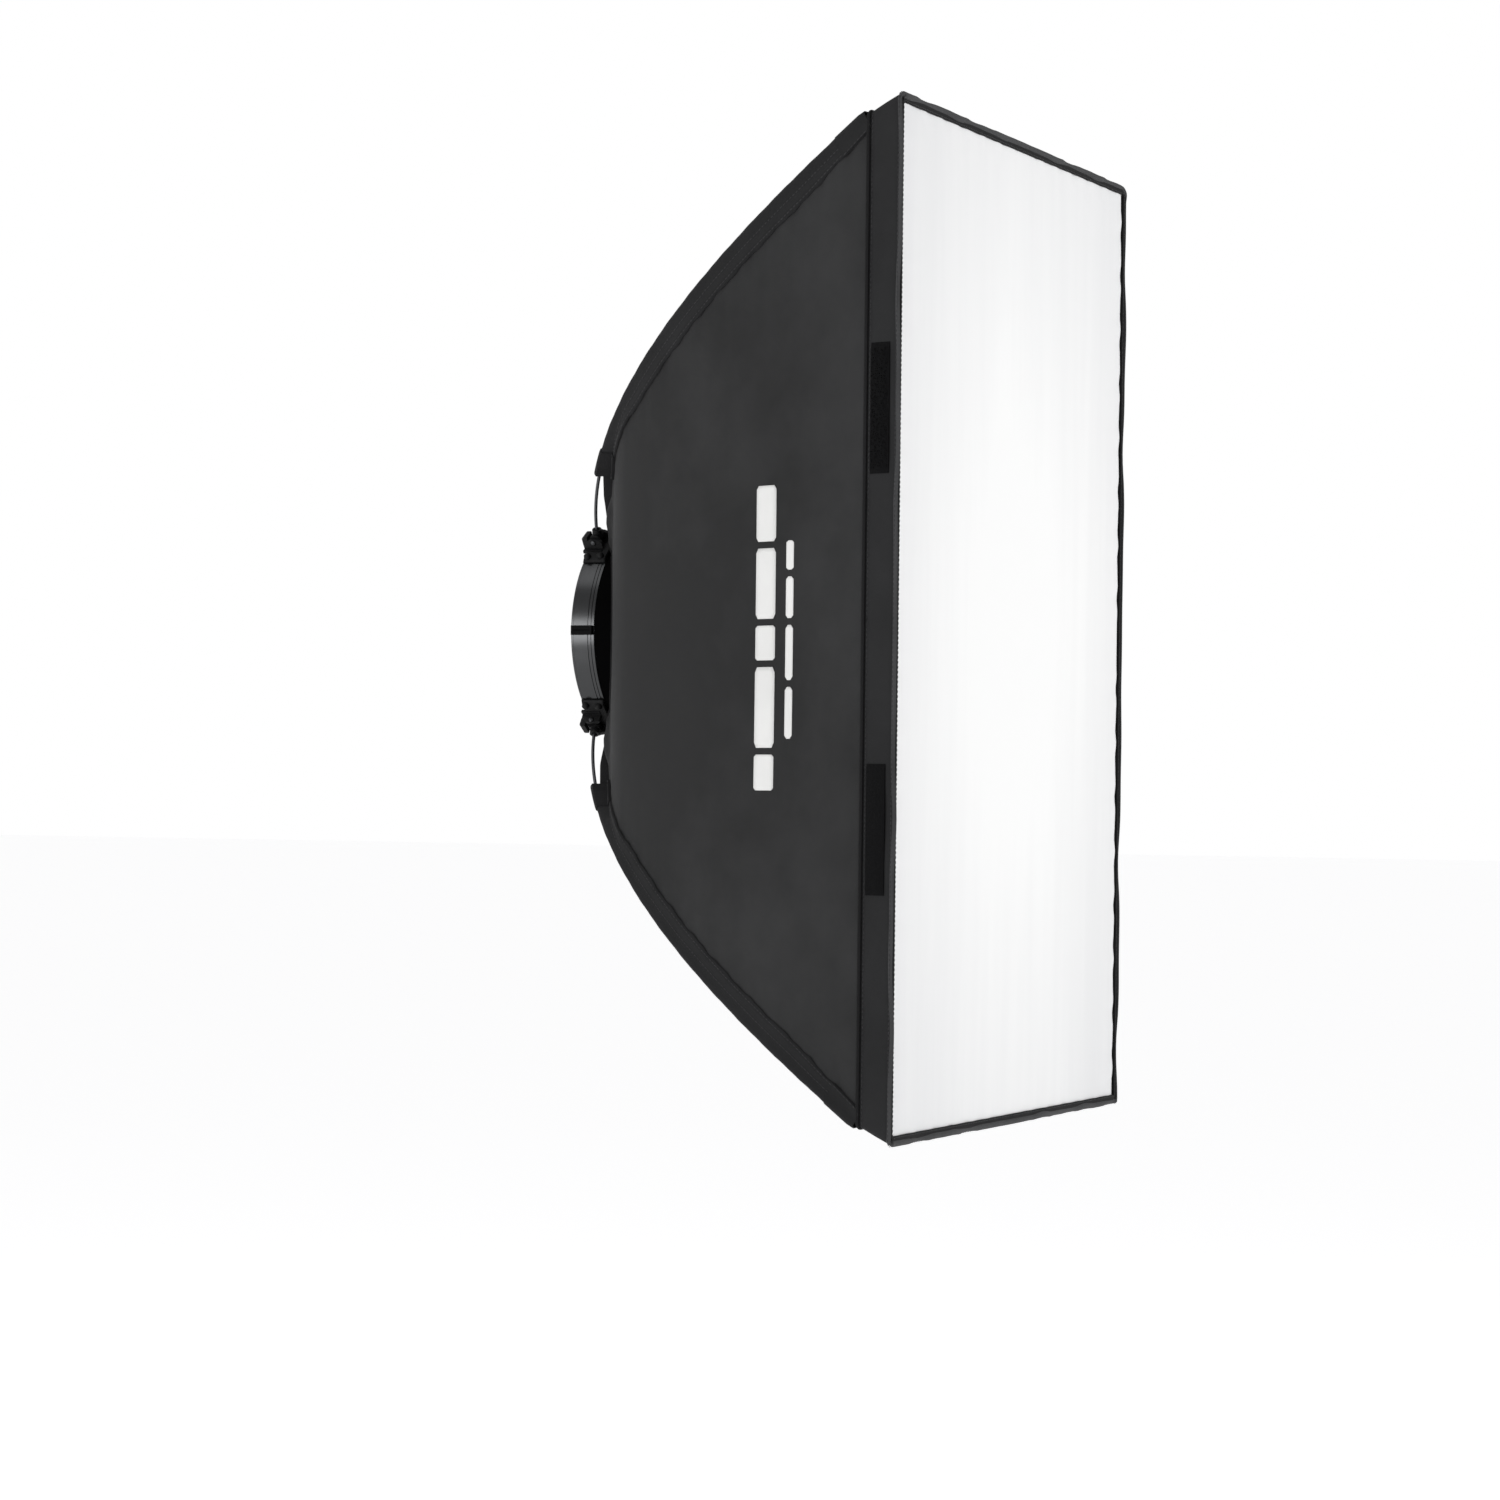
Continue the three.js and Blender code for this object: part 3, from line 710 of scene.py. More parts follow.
def drape(kind, radius, length, share, lift=0.0):
    """Points of a panel at given places: radius along the profile, share from middle to seam."""
    radii, ys, slopes, lengths = panel_profile()
    out, along = SIDE_KINDS[kind]
    y = np.interp(radius, radii, ys)
    slope = np.stack([np.interp(radius, radii, slopes[:, i]) for i in (0, 1)], -1)
    normal = unit(np.stack([-slope[..., 1], slope[..., 0] * out], -1))
    across = share * along * radius
    from_seam = (1 - share) * along * radius
    middle = smooth(np.abs(across) / 0.04)
    slack = smooth((radius - 0.2) / 0.15)
    sag = -0.0025 * (1 - share**2) * slack * (1 - smooth((radius - 0.45) / 0.08))
    pucker = np.sin(length * 2 * math.pi / 0.037 + 1.3) + 0.6 * np.sin(length * 2 * math.pi / 0.021)
    ripple = 0.0007 * middle * pucker * np.exp(-from_seam / 0.024)
    gathers = np.sin(across * 2 * math.pi / 0.043) + 0.5 * np.sin(across * 2 * math.pi / 0.019 + 2)
    front = 0.0005 * middle * gathers * np.exp(-(lengths[-1] - length) / 0.022)
    near_ring = np.exp(-(((radius - 0.14) / 0.028) ** 2))
    curl = 0.006 * near_ring * np.exp(-(((share - 0.90) / 0.07) ** 2))
    raised = sag + ripple + front + curl + lift
    outward = out * radius + normal[..., 0] * raised
    return outward, y + normal[..., 1] * raised, across


def place(kind, quadrant, outward, y, across):
    """Turns a panel's own measures into points of the given quadrant."""
    _, sign_x, sign_z = quadrant
    if kind == "side":
        return np.stack([sign_x * outward, y, sign_z * across], -1)
    return np.stack([sign_x * across, y, sign_z * outward], -1)


# %% The panel halves


def panel_half(kind, quadrant, columns=56):
    out, along = SIDE_KINDS[kind]
    radii, _, _, lengths = panel_profile()
    hem = np.sqrt(np.maximum(0, HEM_R**2 - (out * radii) ** 2)) / (along * radii)
    edge = 1 - PANEL_EDGE / (out * along * radii)
    steps = np.linspace(0, 1, columns)
    share = hem[:, None] + (edge - hem)[:, None] * steps
    radius = np.repeat(radii[:, None], columns, 1)
    length = np.repeat(lengths[:, None], columns, 1)
    outward, y, across = drape(kind, radius, length, share)
    grid = place(kind, quadrant, outward, y, across)
    uv = np.stack([length, across], -1)
    name, sign_x, sign_z = quadrant
    facing = (sign_x, 0.4, 0) if kind == "side" else (0, 0.4, sign_z)
    height, side = name.split("_")
    label = "panel_" + (side if kind == "side" else CAP_NAMES[height])
    look = (SHELL, "shell_fabric", SHELL_THICKNESS, SILVER)
    piece = sheet_piece(f"{label}_{name}", grid, uv, facing, *look)
    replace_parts(piece, label)
    follow_rod(piece)
    flat = (float(lengths[-1]) * 1.01, along * SEAM_END[0])
    return piece, flat


panels = [(panel_half(kind, q), kind, q) for q in QUADRANTS for kind in SIDE_KINDS]
print("panel halves:", [p[0][0].name for p in panels])

# %% [markdown]
# ## Rod sleeves, cuffs and tip pockets
# The rods run in sleeves sewn over the corner seams. A sleeve is one strip of cloth wrapped round
# the rod, with a flat flange sewn to the panel on each side. It ends near the ring in a cuff of
# heavier webbing, which takes the wear where the bare rod comes out, and at the front in a pocket
# that holds the rod's tip. All three are the same outline at different sizes.

# %% The sleeve outline
def corner_lines(radii, quadrant):
    """The rod's centre line, the panels' corner line, their outward normals and ways along them."""
    _, sign_x, sign_z = quadrant
    profile_r, _, slopes, _ = panel_profile()
    slope = np.stack([np.interp(radii, profile_r, slopes[:, i]) for i in (0, 1)], -1)
    none = np.zeros(len(radii))
    rod = on_corner(quadrant, radii, np.interp(radii, FINE_POINTS[:, 0], FINE_POINTS[:, 1]))
    edge = on_corner(quadrant, radii, panel_y(radii))
    tangent = unit(on_corner(quadrant, slope[:, 0], slope[:, 1]))
    normals = [
        unit(np.stack([-sign_x * slope[:, 1], WIDE * slope[:, 0], none], -1)),
        unit(np.stack([none, TALL * slope[:, 0], -sign_z * slope[:, 1]], -1))
    ]
    ways = [np.array([0, 0, -sign_z]), np.array([-sign_x, 0, 0])]
    return rod, edge, normals, [unit(w - (tangent @ w)[:, None] * tangent) for w in ways]


def flange_widths(radii):
    """How far the sleeve reaches over the side panel and over the top or bottom panel."""
    side = np.interp(radii, [0.18, 0.27, 0.47, 0.53], [0.010, 0.022, 0.021, 0.013])
    cap = np.interp(radii, [0.18, 0.27, 0.53], [0.009, 0.014, 0.012])
    return side, cap


def wrapped_rings(radii, quadrant, wider, lift, bulge, thickness, arc=8):
    """Closed outlines of a strip wrapped round the rod, one at each distance from the axis."""
    rod, edge, normals, ways = corner_lines(radii, quadrant)
    widths = [w * wider for w in flange_widths(radii)]
    round_r = np.broadcast_to(bulge, len(radii))[:, None]
    halves = []
    for normal, way, width in zip(normals, ways, widths):
        half = []
        for reach, rise in ((1.0, 0.35), (0.95, 1.0), (0.68, 1.0), (0.40, 1.05)):
            half.append((edge + way * width[:, None] * reach + normal * lift * rise, normal))
        half.append((rod + way * round_r * 0.85 + normal * round_r * 0.72, normal))
        halves.append(half)
    layers = list(halves[0])
    for i in range(arc + 1):
        mixed = unit(normals[0] * (1 - i / arc) + normals[1] * (i / arc))
        layers.append((rod + mixed * round_r, mixed))
    layers += reversed(halves[1])
    outer = [p for p, _ in layers]
    inner = [p - n * thickness for p, n in reversed(layers)]
    return np.stack(outer + inner, axis=1)


# %% Sleeves, cuffs and pockets
SLEEVE_LIFT = 0.0016
CUFF_RADII = (0.1775, 0.203)
POCKET_START_R = 0.505


def sleeve(quadrant):
    points, _ = seam(np.linspace(SLEEVE_START, share_at_radius(POCKET_START_R + 0.006), 120))
    wave = 1 + 0.03 * np.sin(np.arange(120) * 0.55) + 0.02 * np.sin(np.arange(120) * 1.31 + 1)
    return wrapped_rings(points[:, 0], quadrant, wave, SLEEVE_LIFT, 0.0040 * wave, 0.0009)


def cuff(quadrant):
    swell = np.array([0.94] + [1.0] * 12 + [0.96])
    radii = np.linspace(*CUFF_RADII, 14)
    return wrapped_rings(
        radii, quadrant, 1.14 * swell, SLEEVE_LIFT + 0.0012, 0.0053 * swell, 0.0012
    )


def pocket(quadrant):
    radii = np.linspace(POCKET_START_R, 0.5285, 22)
    close = np.interp(radii, [0.524, 0.5285], [1.0, 0.80])
    return wrapped_rings(
        radii, quadrant, 1.08 * close, SLEEVE_LIFT + 0.0009, 0.0048 * close, 0.0011
    )


def wrappings(quadrant):
    """A quadrant's sleeve, cuff and pocket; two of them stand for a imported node."""
    name = quadrant[0]
    made = []
    for label, rings, finish, node in (
        ("rod_sleeve_cloth_", sleeve(quadrant), SLEEVE, "rod_sleeve_"),
        ("sleeve_cuff_", cuff(quadrant), CUFF, None),
        ("rod_tip_pocket_", pocket(quadrant), SLEEVE, "rod_pocket_")
    ):
        piece = sweep_piece(label + name, rings, finish)
        if node:
            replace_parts(piece, node + name)
        made.append(follow_rod(piece))
    return made


sleeves = {q[0]: wrappings(q) for q in QUADRANTS}
print("sleeves, cuffs and pockets:", sum(map(len, sleeves.values())))

# %% [markdown]
# Behind the cuff the rod runs bare to its hinge, and the corner seam of the cloth takes a shorter
# way to the ring. There the two panels' edges are bound together in a narrow fin.

# %% The bound seam from cuff to ring


def seam_fin(quadrant):
    name, sign_x, sign_z = quadrant
    radii = np.linspace(0.1045, SLEEVE_START_R + 0.006, 26)
    centre = on_corner(quadrant, radii, panel_y(radii))
    slope = np.array([1, -CHORD_FALL]) / math.hypot(1, CHORD_FALL)
    out = on_corner(quadrant, -slope[1], slope[0])
    side = np.array([-sign_z * TALL, 0, sign_x * WIDE])
    height = np.interp(radii, [0.104, 0.125, 0.15, 0.19], [0.0026, 0.0052, 0.0098, 0.0112])[:, None]
    wave = 0.0006 * np.sin((radii - HEM_R) * 2 * math.pi / 0.06)[:, None]
    outline = [(-0.1, -1), (0.55, -1), (0.92, -0.75), (1.0, 0), (0.92, 0.75), (0.55, 1), (-0.1, 1)]
    rings = [
        centre + out * height * up + side * (0.0011 * across + wave * up) for up, across in outline
    ]
    piece = sweep_piece("corner_seam_fin_" + name, np.stack(rings, axis=1), CUFF)
    return follow_rod(piece)


fins = [seam_fin(q) for q in QUADRANTS]


def hem_bead(kind, quadrant):
    """The rolled hem along the panel's rear edge, round the ring."""
    out, along = SIDE_KINDS[kind]
    radii = np.linspace(0.1115, HEM_R / out, 30)
    share = np.sqrt(np.maximum(0, HEM_R**2 - (out * radii) ** 2)) / (along * radii)
    profile_r, _, _, lengths = panel_profile()
    outward, y, across = drape(kind, radii, np.interp(radii, profile_r, lengths), share)
    centre = place(kind, quadrant, outward, y, across)
    tangent = unit(np.gradient(centre, axis=0))
    up = unit(np.cross(tangent, BACK))
    over = np.cross(up, tangent)
    angles = np.linspace(0, 2 * math.pi, 8, endpoint=False)
    rings = [centre + HEM_BEAD_R * (math.cos(a) * up + math.sin(a) * over) for a in angles]
    label = quadrant[0] + "_" + kind
    piece = sweep_piece("rear_hem_" + label, np.stack(rings, axis=1), CUFF)
    return follow_rod(piece)


hems = [hem_bead(kind, q) for q in QUADRANTS for kind in SIDE_KINDS]
print("corner fins and rear hems:", len(fins) + len(hems))

# %% [markdown]
# ## The lip round the front
# A stiffened strip carries on past the rods' tips and flares out a little, to shade the diffuser
# and carry accessories. It is a double layer folded at the front, its edge is bound with tape, and
# a piped seam joins it to the panels. Each quarter is a sweep round one rounded corner.

# %% Paths round a corner


def corner_path(half_width, half_height, radius, straight=44, bend=12):
    """From the tall side's middle round a corner to the short side's: X, Z and the way out."""
    side = np.linspace(0, half_height - radius, straight, endpoint=False)
    angles = np.linspace(0, math.pi / 2, bend + 1)
    top = np.linspace(half_width - radius, 0, straight + 1)[1:]
    x = np.r_[np.full(straight, half_width), half_width - radius * (1 - np.cos(angles)), top]
    z = np.r_[side, half_height - radius * (1 - np.sin(angles)), np.full(straight, half_height)]
    out_x = np.r_[np.ones(straight), np.cos(angles), np.zeros(straight)]
    out_z = np.r_[np.zeros(straight), np.sin(angles), np.ones(straight)]
    return np.stack([x, z], -1), np.stack([out_x, out_z], -1)


LIP_WAVE = 0.0009
BINDING_SIDE_TURN = 0.28  # the share of the binding that shows on the tall sides
FRONT_ROUND = {"upper_right": 0.016}  # one corner has gone softer than the rest


def quarter_rings(quadrant, outline, wave=0.0, side_turn=1.0):
    """Rings round the lip, from an outline of (share to the front edge, way out and, if any,
    way forward).

    side_turn narrows what is turned inwards, on the tall sides only."""
    name, sign_x, sign_z = quadrant
    rear, _ = corner_path(WIDE * SEAM_END[0] + 0.0005, TALL * SEAM_END[0] + 0.0005, 0.004)
    front, out = corner_path(FRONT_HALF_WIDTH, FRONT_HALF_HEIGHT, FRONT_ROUND.get(name, 0.006))
    run = np.abs(front[:, 0]) * np.abs(front[:, 1]) / (FRONT_HALF_WIDTH * FRONT_HALF_HEIGHT)
    steps = np.arange(len(front))
    waves = np.sin(steps * 0.33 + sign_x) + 0.5 * np.sin(steps * 0.71 + sign_z)
    ripple = wave * waves * smooth(run * 3)
    front = front - out * np.abs(ripple)[:, None] * 0.8
    rings = []
    for share, outwards, *forward in outline:
        if outwards < -0.001:
            outwards = outwards * (1 - (1 - side_turn) * out[:, :1])
        flat = rear * (1 - share) + front * share + out * outwards
        y = LIP_REAR_Y * (1 - share) + FRONT_Y * share - sum(forward) + ripple * share
        rings.append(on_front(quadrant, flat, y))
    return np.stack(rings, axis=1)


LIP_OUTLINE = [
    (0.00, -0.0004), (0.05, 0.0001), (0.25, 0.0004), (0.50, 0.0005), (0.75, 0.0003), (0.95, 0.0),
    (0.99, -0.0006), (1.00, -0.0011), (0.99, -0.0017), (0.95, -0.0021), (0.50, -0.0019),
    (0.02, -0.0021), (0.00, -0.0014)
]
BINDING_OUTLINE = [
    (0.905, 0.0004), (0.910, 0.0010), (0.945, 0.0011), (0.98, 0.0008), (1.00, 0.0001, 0.0004),
    (1.00, -0.0014, 0.0007), (1.00, -0.0032, 0.0006), (0.99, -0.0044), (0.90, -0.0048),
    (0.90, -0.0040), (0.985, -0.0036), (0.995, -0.0014), (0.98, -0.0003), (0.95, 0.0003)
]


def piping_outline(radius=0.0023, share=-0.02, points=8):
    """A round bead on the rear seam."""
    depth = LIP_REAR_Y - FRONT_Y
    angles = [2 * math.pi * i / points for i in range(points)]
    return [(share + radius * math.sin(a) / depth, 0.0006 + radius * math.cos(a)) for a in angles]


def lip_quarter(quadrant):
    """A quadrant's share of the lip, of the tape that binds its edge and of the piped seam."""
    binding = quarter_rings(quadrant, BINDING_OUTLINE, LIP_WAVE, BINDING_SIDE_TURN)
    made = []
    for label, rings, finish, slot in (
        ("lip_", quarter_rings(quadrant, LIP_OUTLINE, LIP_WAVE), LIP, "shell_fabric"),
        ("lip_binding_", binding, BINDING, "edging_fabric"),
        ("lip_piping_", quarter_rings(quadrant, piping_outline()), CUFF, "sleeve_fabric")
    ):
        piece = sweep_piece(label + quadrant[0], rings, finish)
        made.append(follow_rod(piece))
    return made


lips = {q[0]: lip_quarter(q) for q in QUADRANTS}
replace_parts(lips["upper_left"][0], "lip_left", "lip_top")
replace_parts(lips["lower_right"][0], "lip_right", "lip_bottom")
print("lip pieces:", sum(map(len, lips.values())))

# %% [markdown]
# ## Front diffuser and inner baffle
# The front sheet is thin white cloth with a taped edge, held flat by the lip. It is nearly flat,
# with a very slight belly and small puckers along the tape where the sewing gathers it. A smaller
# sheet halfway down, the baffle, evens out the middle. Both are made in quarters that meet on the
# middle lines.

# %% White sheets


def white_quarter(
    name, quadrant, half_width, half_height, y, belly, gather, follow, columns=64, rows=84
):
    """A quarter of a white sheet with its middle forward by belly, gathered along its edges."""
    _, sign_x, sign_z = quadrant
    x = np.linspace(0, half_width, columns)[None, :].repeat(rows, 0)
    z = np.linspace(0, half_height, rows)[:, None].repeat(columns, 1)
    bulge = -belly * (1 - (x / half_width) ** 2) * (1 - (z / half_height) ** 2)
    beside_x = np.exp(-(half_width - x) / 0.016) * smooth(z / 0.05)
    beside_z = np.exp(-(half_height - z) / 0.016) * smooth(x / 0.05)
    puckers = beside_x * (np.sin(z * 175) + 0.5 * np.sin(z * 293 + 1))
    puckers += beside_z * (np.sin(x * 168 + 1) + 0.5 * np.sin(x * 301))
    depth = y + bulge + gather * puckers
    grid = np.stack([sign_x * x, depth, sign_z * z], -1)
    uv = np.stack([x, z], -1)
    piece = sheet_piece(name, grid, uv, (0, -1, 0), DIFFUSER, "diffuser_fabric", WHITE_THICKNESS)
    return follow_rod(piece, follow)


def edge_tape(
    name, quadrant, half_width, half_height, y, width, thickness, follow, finish, slot, side_cut=0.0
):
    """A flat tape with rounded edges round one quarter of a sheet's rim."""
    flat, out = corner_path(half_width, half_height, 0.008)
    outline = [
        (0.0, 0.25), (0.0, 0.75), (-0.06, 1.0), (-0.5, 1.08), (-0.94, 1.0), (-1.0, 0.75),
        (-1.0, 0.25), (-0.94, 0.0), (-0.06, 0.0)
    ]
    rings = []
    widths = width * (1 - side_cut * np.abs(out[:, :1]))
    for across, up in outline:
        spot = flat + out * widths * across
        rings.append(on_front(quadrant, spot, np.full(len(spot), y - thickness * up)))
    piece = sweep_piece(name, np.stack(rings, axis=1), finish)
    return follow_rod(piece, follow)


DIFFUSER_FULL = 0.42  # distance from the axis beyond which a sheet follows as the shell does
BAFFLE_FULL = 0.26
BAFFLE_REACH = radius_at_y(BAFFLE_Y)
BAFFLE_HALF_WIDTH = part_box("inner_baffle")[1].x
BAFFLE_HALF_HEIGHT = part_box("inner_baffle")[1].z
DIFFUSER_HALF = np.array([DIFFUSER_HALF_WIDTH, DIFFUSER_HALF_HEIGHT])
BAFFLE_HALF = np.array([BAFFLE_HALF_WIDTH, BAFFLE_HALF_HEIGHT])
diffusers, edgings, baffles, baffle_tapes = [], [], [], []
for quadrant in QUADRANTS:
    label = quadrant[0]
    follow = sheet_follow(DIFFUSER_FULL)
    half, y = DIFFUSER_HALF - 0.004, DIFFUSER_Y + 0.0002
    diffusers.append(white_quarter("diffuser_" + label, quadrant, *half, y, 0.0025, 0.0004, follow))
    half, y = DIFFUSER_HALF + 0.0015, DIFFUSER_Y + 0.0006
    look = (EDGING, "edging_fabric", EDGING_SIDE_CUT)
    edgings.append(
        edge_tape(
            "diffuser_edging_" + label, quadrant, *half, y, EDGING_WIDTH, 0.0022, follow, *look
        )
    )
    follow = sheet_follow(BAFFLE_FULL)
    half, y = BAFFLE_HALF - 0.002, BAFFLE_Y + 0.001
    baffles.append(
        white_quarter("baffle_" + label, quadrant, *half, y, 0.004, 0.0006, follow, 40, 52)
    )
    half, y = BAFFLE_HALF, BAFFLE_Y + 0.0018
    look = (SILVER, "diffuser_fabric")
    baffle_tapes.append(
        edge_tape("baffle_edging_" + label, quadrant, *half, y, 0.010, 0.0018, follow, *look)
    )
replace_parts(diffusers[0], "front_diffuser")
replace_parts(baffles[0], "inner_baffle")
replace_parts(edgings[0], "diffuser_edging_left", "diffuser_edging_top")
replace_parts(edgings[3], "diffuser_edging_right", "diffuser_edging_bottom")
print("white sheets:", len(diffusers) + len(baffles))

# %% Baffle straps


def baffle_strap(quadrant):
    """An elastic strap from the baffle's corner to the corner seam, with a round snap on it."""
    name, sign_x, sign_z = quadrant
    out = np.array([sign_x * WIDE, 0, sign_z * TALL])
    side = np.array([-sign_z * TALL, 0, sign_x * WIDE])
    start = 0.318
    end = BAFFLE_REACH - 0.006
    shares = np.linspace(0, 1, 16)[:, None]
    centre = out * (start + (end - start) * shares) + BACK * (BAFFLE_Y - 0.0012)
    centre = centre + BACK * 0.003 * np.sin(math.pi * shares)
    half = np.interp(shares[:, 0], [0, 0.25, 1], [0.009, 0.008, 0.005])[:, None]
    outline = [(-1, 0), (-0.9, -0.5), (0.9, -0.5), (1, 0), (0.9, 0.5), (-0.9, 0.5)]
    rings = [centre + side * half * a + np.array([0, 0.0016, 0]) * b for a, b in outline]
    strap = sweep_piece("baffle_strap_" + name, np.stack(rings, axis=1), CUFF)
    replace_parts(strap, "baffle_tab_" + name)
    snap_centre = out * (start + 0.010) + np.array([0, BAFFLE_Y - 0.002, 0])
    profile = [
        (0.0002, -0.0020), (0.0022, -0.0020), (0.0030, -0.0016), (0.0052, -0.0012),
        (0.0056, -0.0004), (0.0056, 0.0)
    ]
    rings = turned_rings(snap_centre, BACK, out, side, profile)
    snap = sweep_piece("baffle_snap_" + name, rings, SNAP_METAL, closed=True)
    return [follow_rod(p, sheet_follow(BAFFLE_FULL)) for p in (strap, snap)]


straps = [baffle_strap(q) for q in QUADRANTS]
print("baffle straps:", len(straps))

# %% [markdown]
# ## Hook-and-loop patches
# Strips of tape are sewn to the outside of the lip, where a grid or mask is pressed on. The tape
# is a thin strip with a rounded edge, and its pile is hundreds of short loops scattered over the
# face. A Geometry Nodes tree scatters them with a fixed seed.

# %% The pile tree


def pile_tree():
    sizes = {"Density": 500000.0, "Seed": 3, "Pile Height": 0.0009, "Pile Radius": 0.0002}
    tree, given = new_tree("tape_pile_rows", sizes)
    inputs = {"Mesh": given["Geometry"], "Density": given["Density"], "Seed": given["Seed"]}
    spread = add_node(tree, "GeometryNodeDistributePointsOnFaces", inputs).outputs
    inputs = {"Vertices": 4, "Radius Top": 0.4, "Radius Bottom": 1.0, "Depth": 1.0}
    loop = add_node(tree, "GeometryNodeMeshCone", inputs)
    inputs = {0: (-0.5, -0.5, 0.0), 1: (0.5, 0.5, 6.28), "Seed": given["Seed"]}
    lean = add_node(tree, "FunctionNodeRandomValue", inputs, data_type="FLOAT_VECTOR")
    inputs = {"Rotation": spread["Rotation"], "Rotate By": lean.outputs[0]}
    turned = add_node(tree, "FunctionNodeRotateRotation", inputs, rotation_space="LOCAL")
    size = thin_size(tree, given["Pile Radius"], given["Pile Height"])
    return copies_tree(tree, given, spread["Points"], loop.outputs["Mesh"], turned, size)


PILE = pile_tree()

# %% The patches
TAPE_SHARES = (0.15, 0.73)  # of the lip's depth


def lip_spot(kind, quadrant, share, across, rise):
    """A point on the outside of the lip's straight side."""
    out, _ = SIDE_KINDS[kind]
    rear = out * SEAM_END[0] + 0.0005
    front = out * FRONT_R
    flare = np.array([front - rear, FRONT_Y - LIP_REAR_Y])
    normal = np.array([-flare[1], flare[0]]) / np.linalg.norm(flare)
    outward = rear + (front - rear) * share + normal[0] * rise
    y = LIP_REAR_Y + (FRONT_Y - LIP_REAR_Y) * share + normal[1] * rise
    return place(kind, quadrant, outward, y, across)


def patch(label, node, kind, quadrant, low, high):
    """One strip of tape from low to high along its side, with pile on its face."""
    across = np.linspace(low, high, 26)
    soften = np.minimum(1, np.minimum(across - low, high - across) / 0.0012 + 0.35)
    first, last = TAPE_SHARES
    outline = [
        (0.0, 0.0004), (0.0, 0.0012), (0.05, 0.0017), (0.5, 0.0018), (0.95, 0.0017), (1.0, 0.0012),
        (1.0, 0.0004)
    ]
    rings = [
        lip_spot(
            kind, quadrant, first + (last - first) * s, across, 0.0004 + (rise - 0.0004) * soften
        )
        for s, rise in outline
    ]
    strip = sweep_piece("hook_tape_" + label, np.stack(rings, axis=1), TAPE)
    face = [
        lip_spot(kind, quadrant, first + (last - first) * s, across[1:-1], np.full(24, 0.0017))
        for s in (0.04, 0.5, 0.96)
    ]
    grid = np.stack(face, axis=0)
    base = add_piece("pile_base_" + label, grid.reshape(-1, 3), grid_faces(3, 24), TAPE)
    values = {
        "Density": 420000.0, "Seed": 3, "Pile Height": 0.0011, "Pile Radius": 0.00028,
        "Material": TAPE
    }
    pile = grow("tape_pile_" + label, base, PILE, values)
    if node:
        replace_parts(strip, node)
    for piece in (strip, pile):
        follow_rod(piece)
    return strip, pile


patches = []
for quadrant in QUADRANTS:
    height, side = quadrant[0].split("_")
    cap = CAP_NAMES[height]
    node = f"tape_{side}_{height}"
    low, high = sorted(abs(corner.z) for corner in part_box(node))
    patches.append(patch(f"{side}_{height}", node, "side", quadrant, low, high))
    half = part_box("tape_" + cap)[1].x
    cap_node = "tape_" + cap if side == "left" else None
    patches.append(patch(f"{cap}_{side}", cap_node, "cap", quadrant, 0.0, half))
print(
    "hook-and-loop patches:", len(patches), "faces in one pile:", len(patches[0][1].data.polygons)
)

# %% [markdown]
# ## Stitching
# Seams that can be seen have a row of stitches: both edges of each sleeve, the cuffs, the piped
# seam, the bound edge and the diffuser's tape. Each quarter's rows are one piece.

# %% Stitch rows


def flange_row(quadrant, radii, way, share, rise):
    """Points over a sleeve's flange, at a share of its width."""
    _, edge, normals, ways = corner_lines(radii, quadrant)
    width = flange_widths(radii)[way][:, None]
    return edge + ways[way] * width * share + normals[way] * rise


def lip_row(quadrant, share, outwards):
    return quarter_rings(quadrant, [(share, outwards)])[:, 0]


def stitches_of(quadrant):
    """A quadrant's rows of thread, as one piece on the shell and one on the front."""
    name = quadrant[0]
    first, last = share_at_radius(0.206), share_at_radius(POCKET_START_R - 0.002)
    along, _ = seam(np.linspace(first, last, 90))
    ends = np.linspace(POCKET_START_R + 0.002, 0.524, 12)
    rows = []
    for way in (0, 1):
        rows.append(flange_row(quadrant, along[:, 0], way, 0.86, SLEEVE_LIFT + 0.0001))
        rows.append(flange_row(quadrant, along[:, 0], way, 0.42, SLEEVE_LIFT * 1.05 + 0.0001))
        rows.append(flange_row(quadrant, ends, way, 0.98, SLEEVE_LIFT + 0.0010))
    for radius in (CUFF_RADII[0] + 0.002, CUFF_RADII[1] - 0.002):
        spots = [
            flange_row(quadrant, np.array([radius]), 0, share, SLEEVE_LIFT + 0.0013)
            for share in np.linspace(0.45, 1.06, 6)
        ]
        rows.append(np.vstack(spots))
    rows.append(lip_row(quadrant, 0.10, 0.0003))
    sleeve_part = stitch_rows("sleeve_stitches_" + name, rows)
    front = [lip_row(quadrant, 0.925, 0.0011)]
    flat, out = corner_path(DIFFUSER_HALF_WIDTH + 0.0015, DIFFUSER_HALF_HEIGHT + 0.0015, 0.008)
    spot = flat - out * 0.0042 * (1 - EDGING_SIDE_CUT * np.abs(out[:, :1]))
    front.append(on_front(quadrant, spot, np.full(len(spot), DIFFUSER_Y - 0.0018)))
    front_part = stitch_rows("front_stitches_" + name, front, 0.0042)
    return [follow_rod(piece) for piece in (sleeve_part, front_part)]


stitching = [stitches_of(q) for q in QUADRANTS]
print("stitch pieces:", sum(map(len, stitching)), "faces:", len(stitching[0][0].data.polygons))

# %% [markdown]
# ## A plain printed mark
# The left panel carries a light print. It is kept generic here: two plain bars broken into
# blocks, in the place of any lettering. Each block is a thin film that follows the cloth.

# %% Printed bars


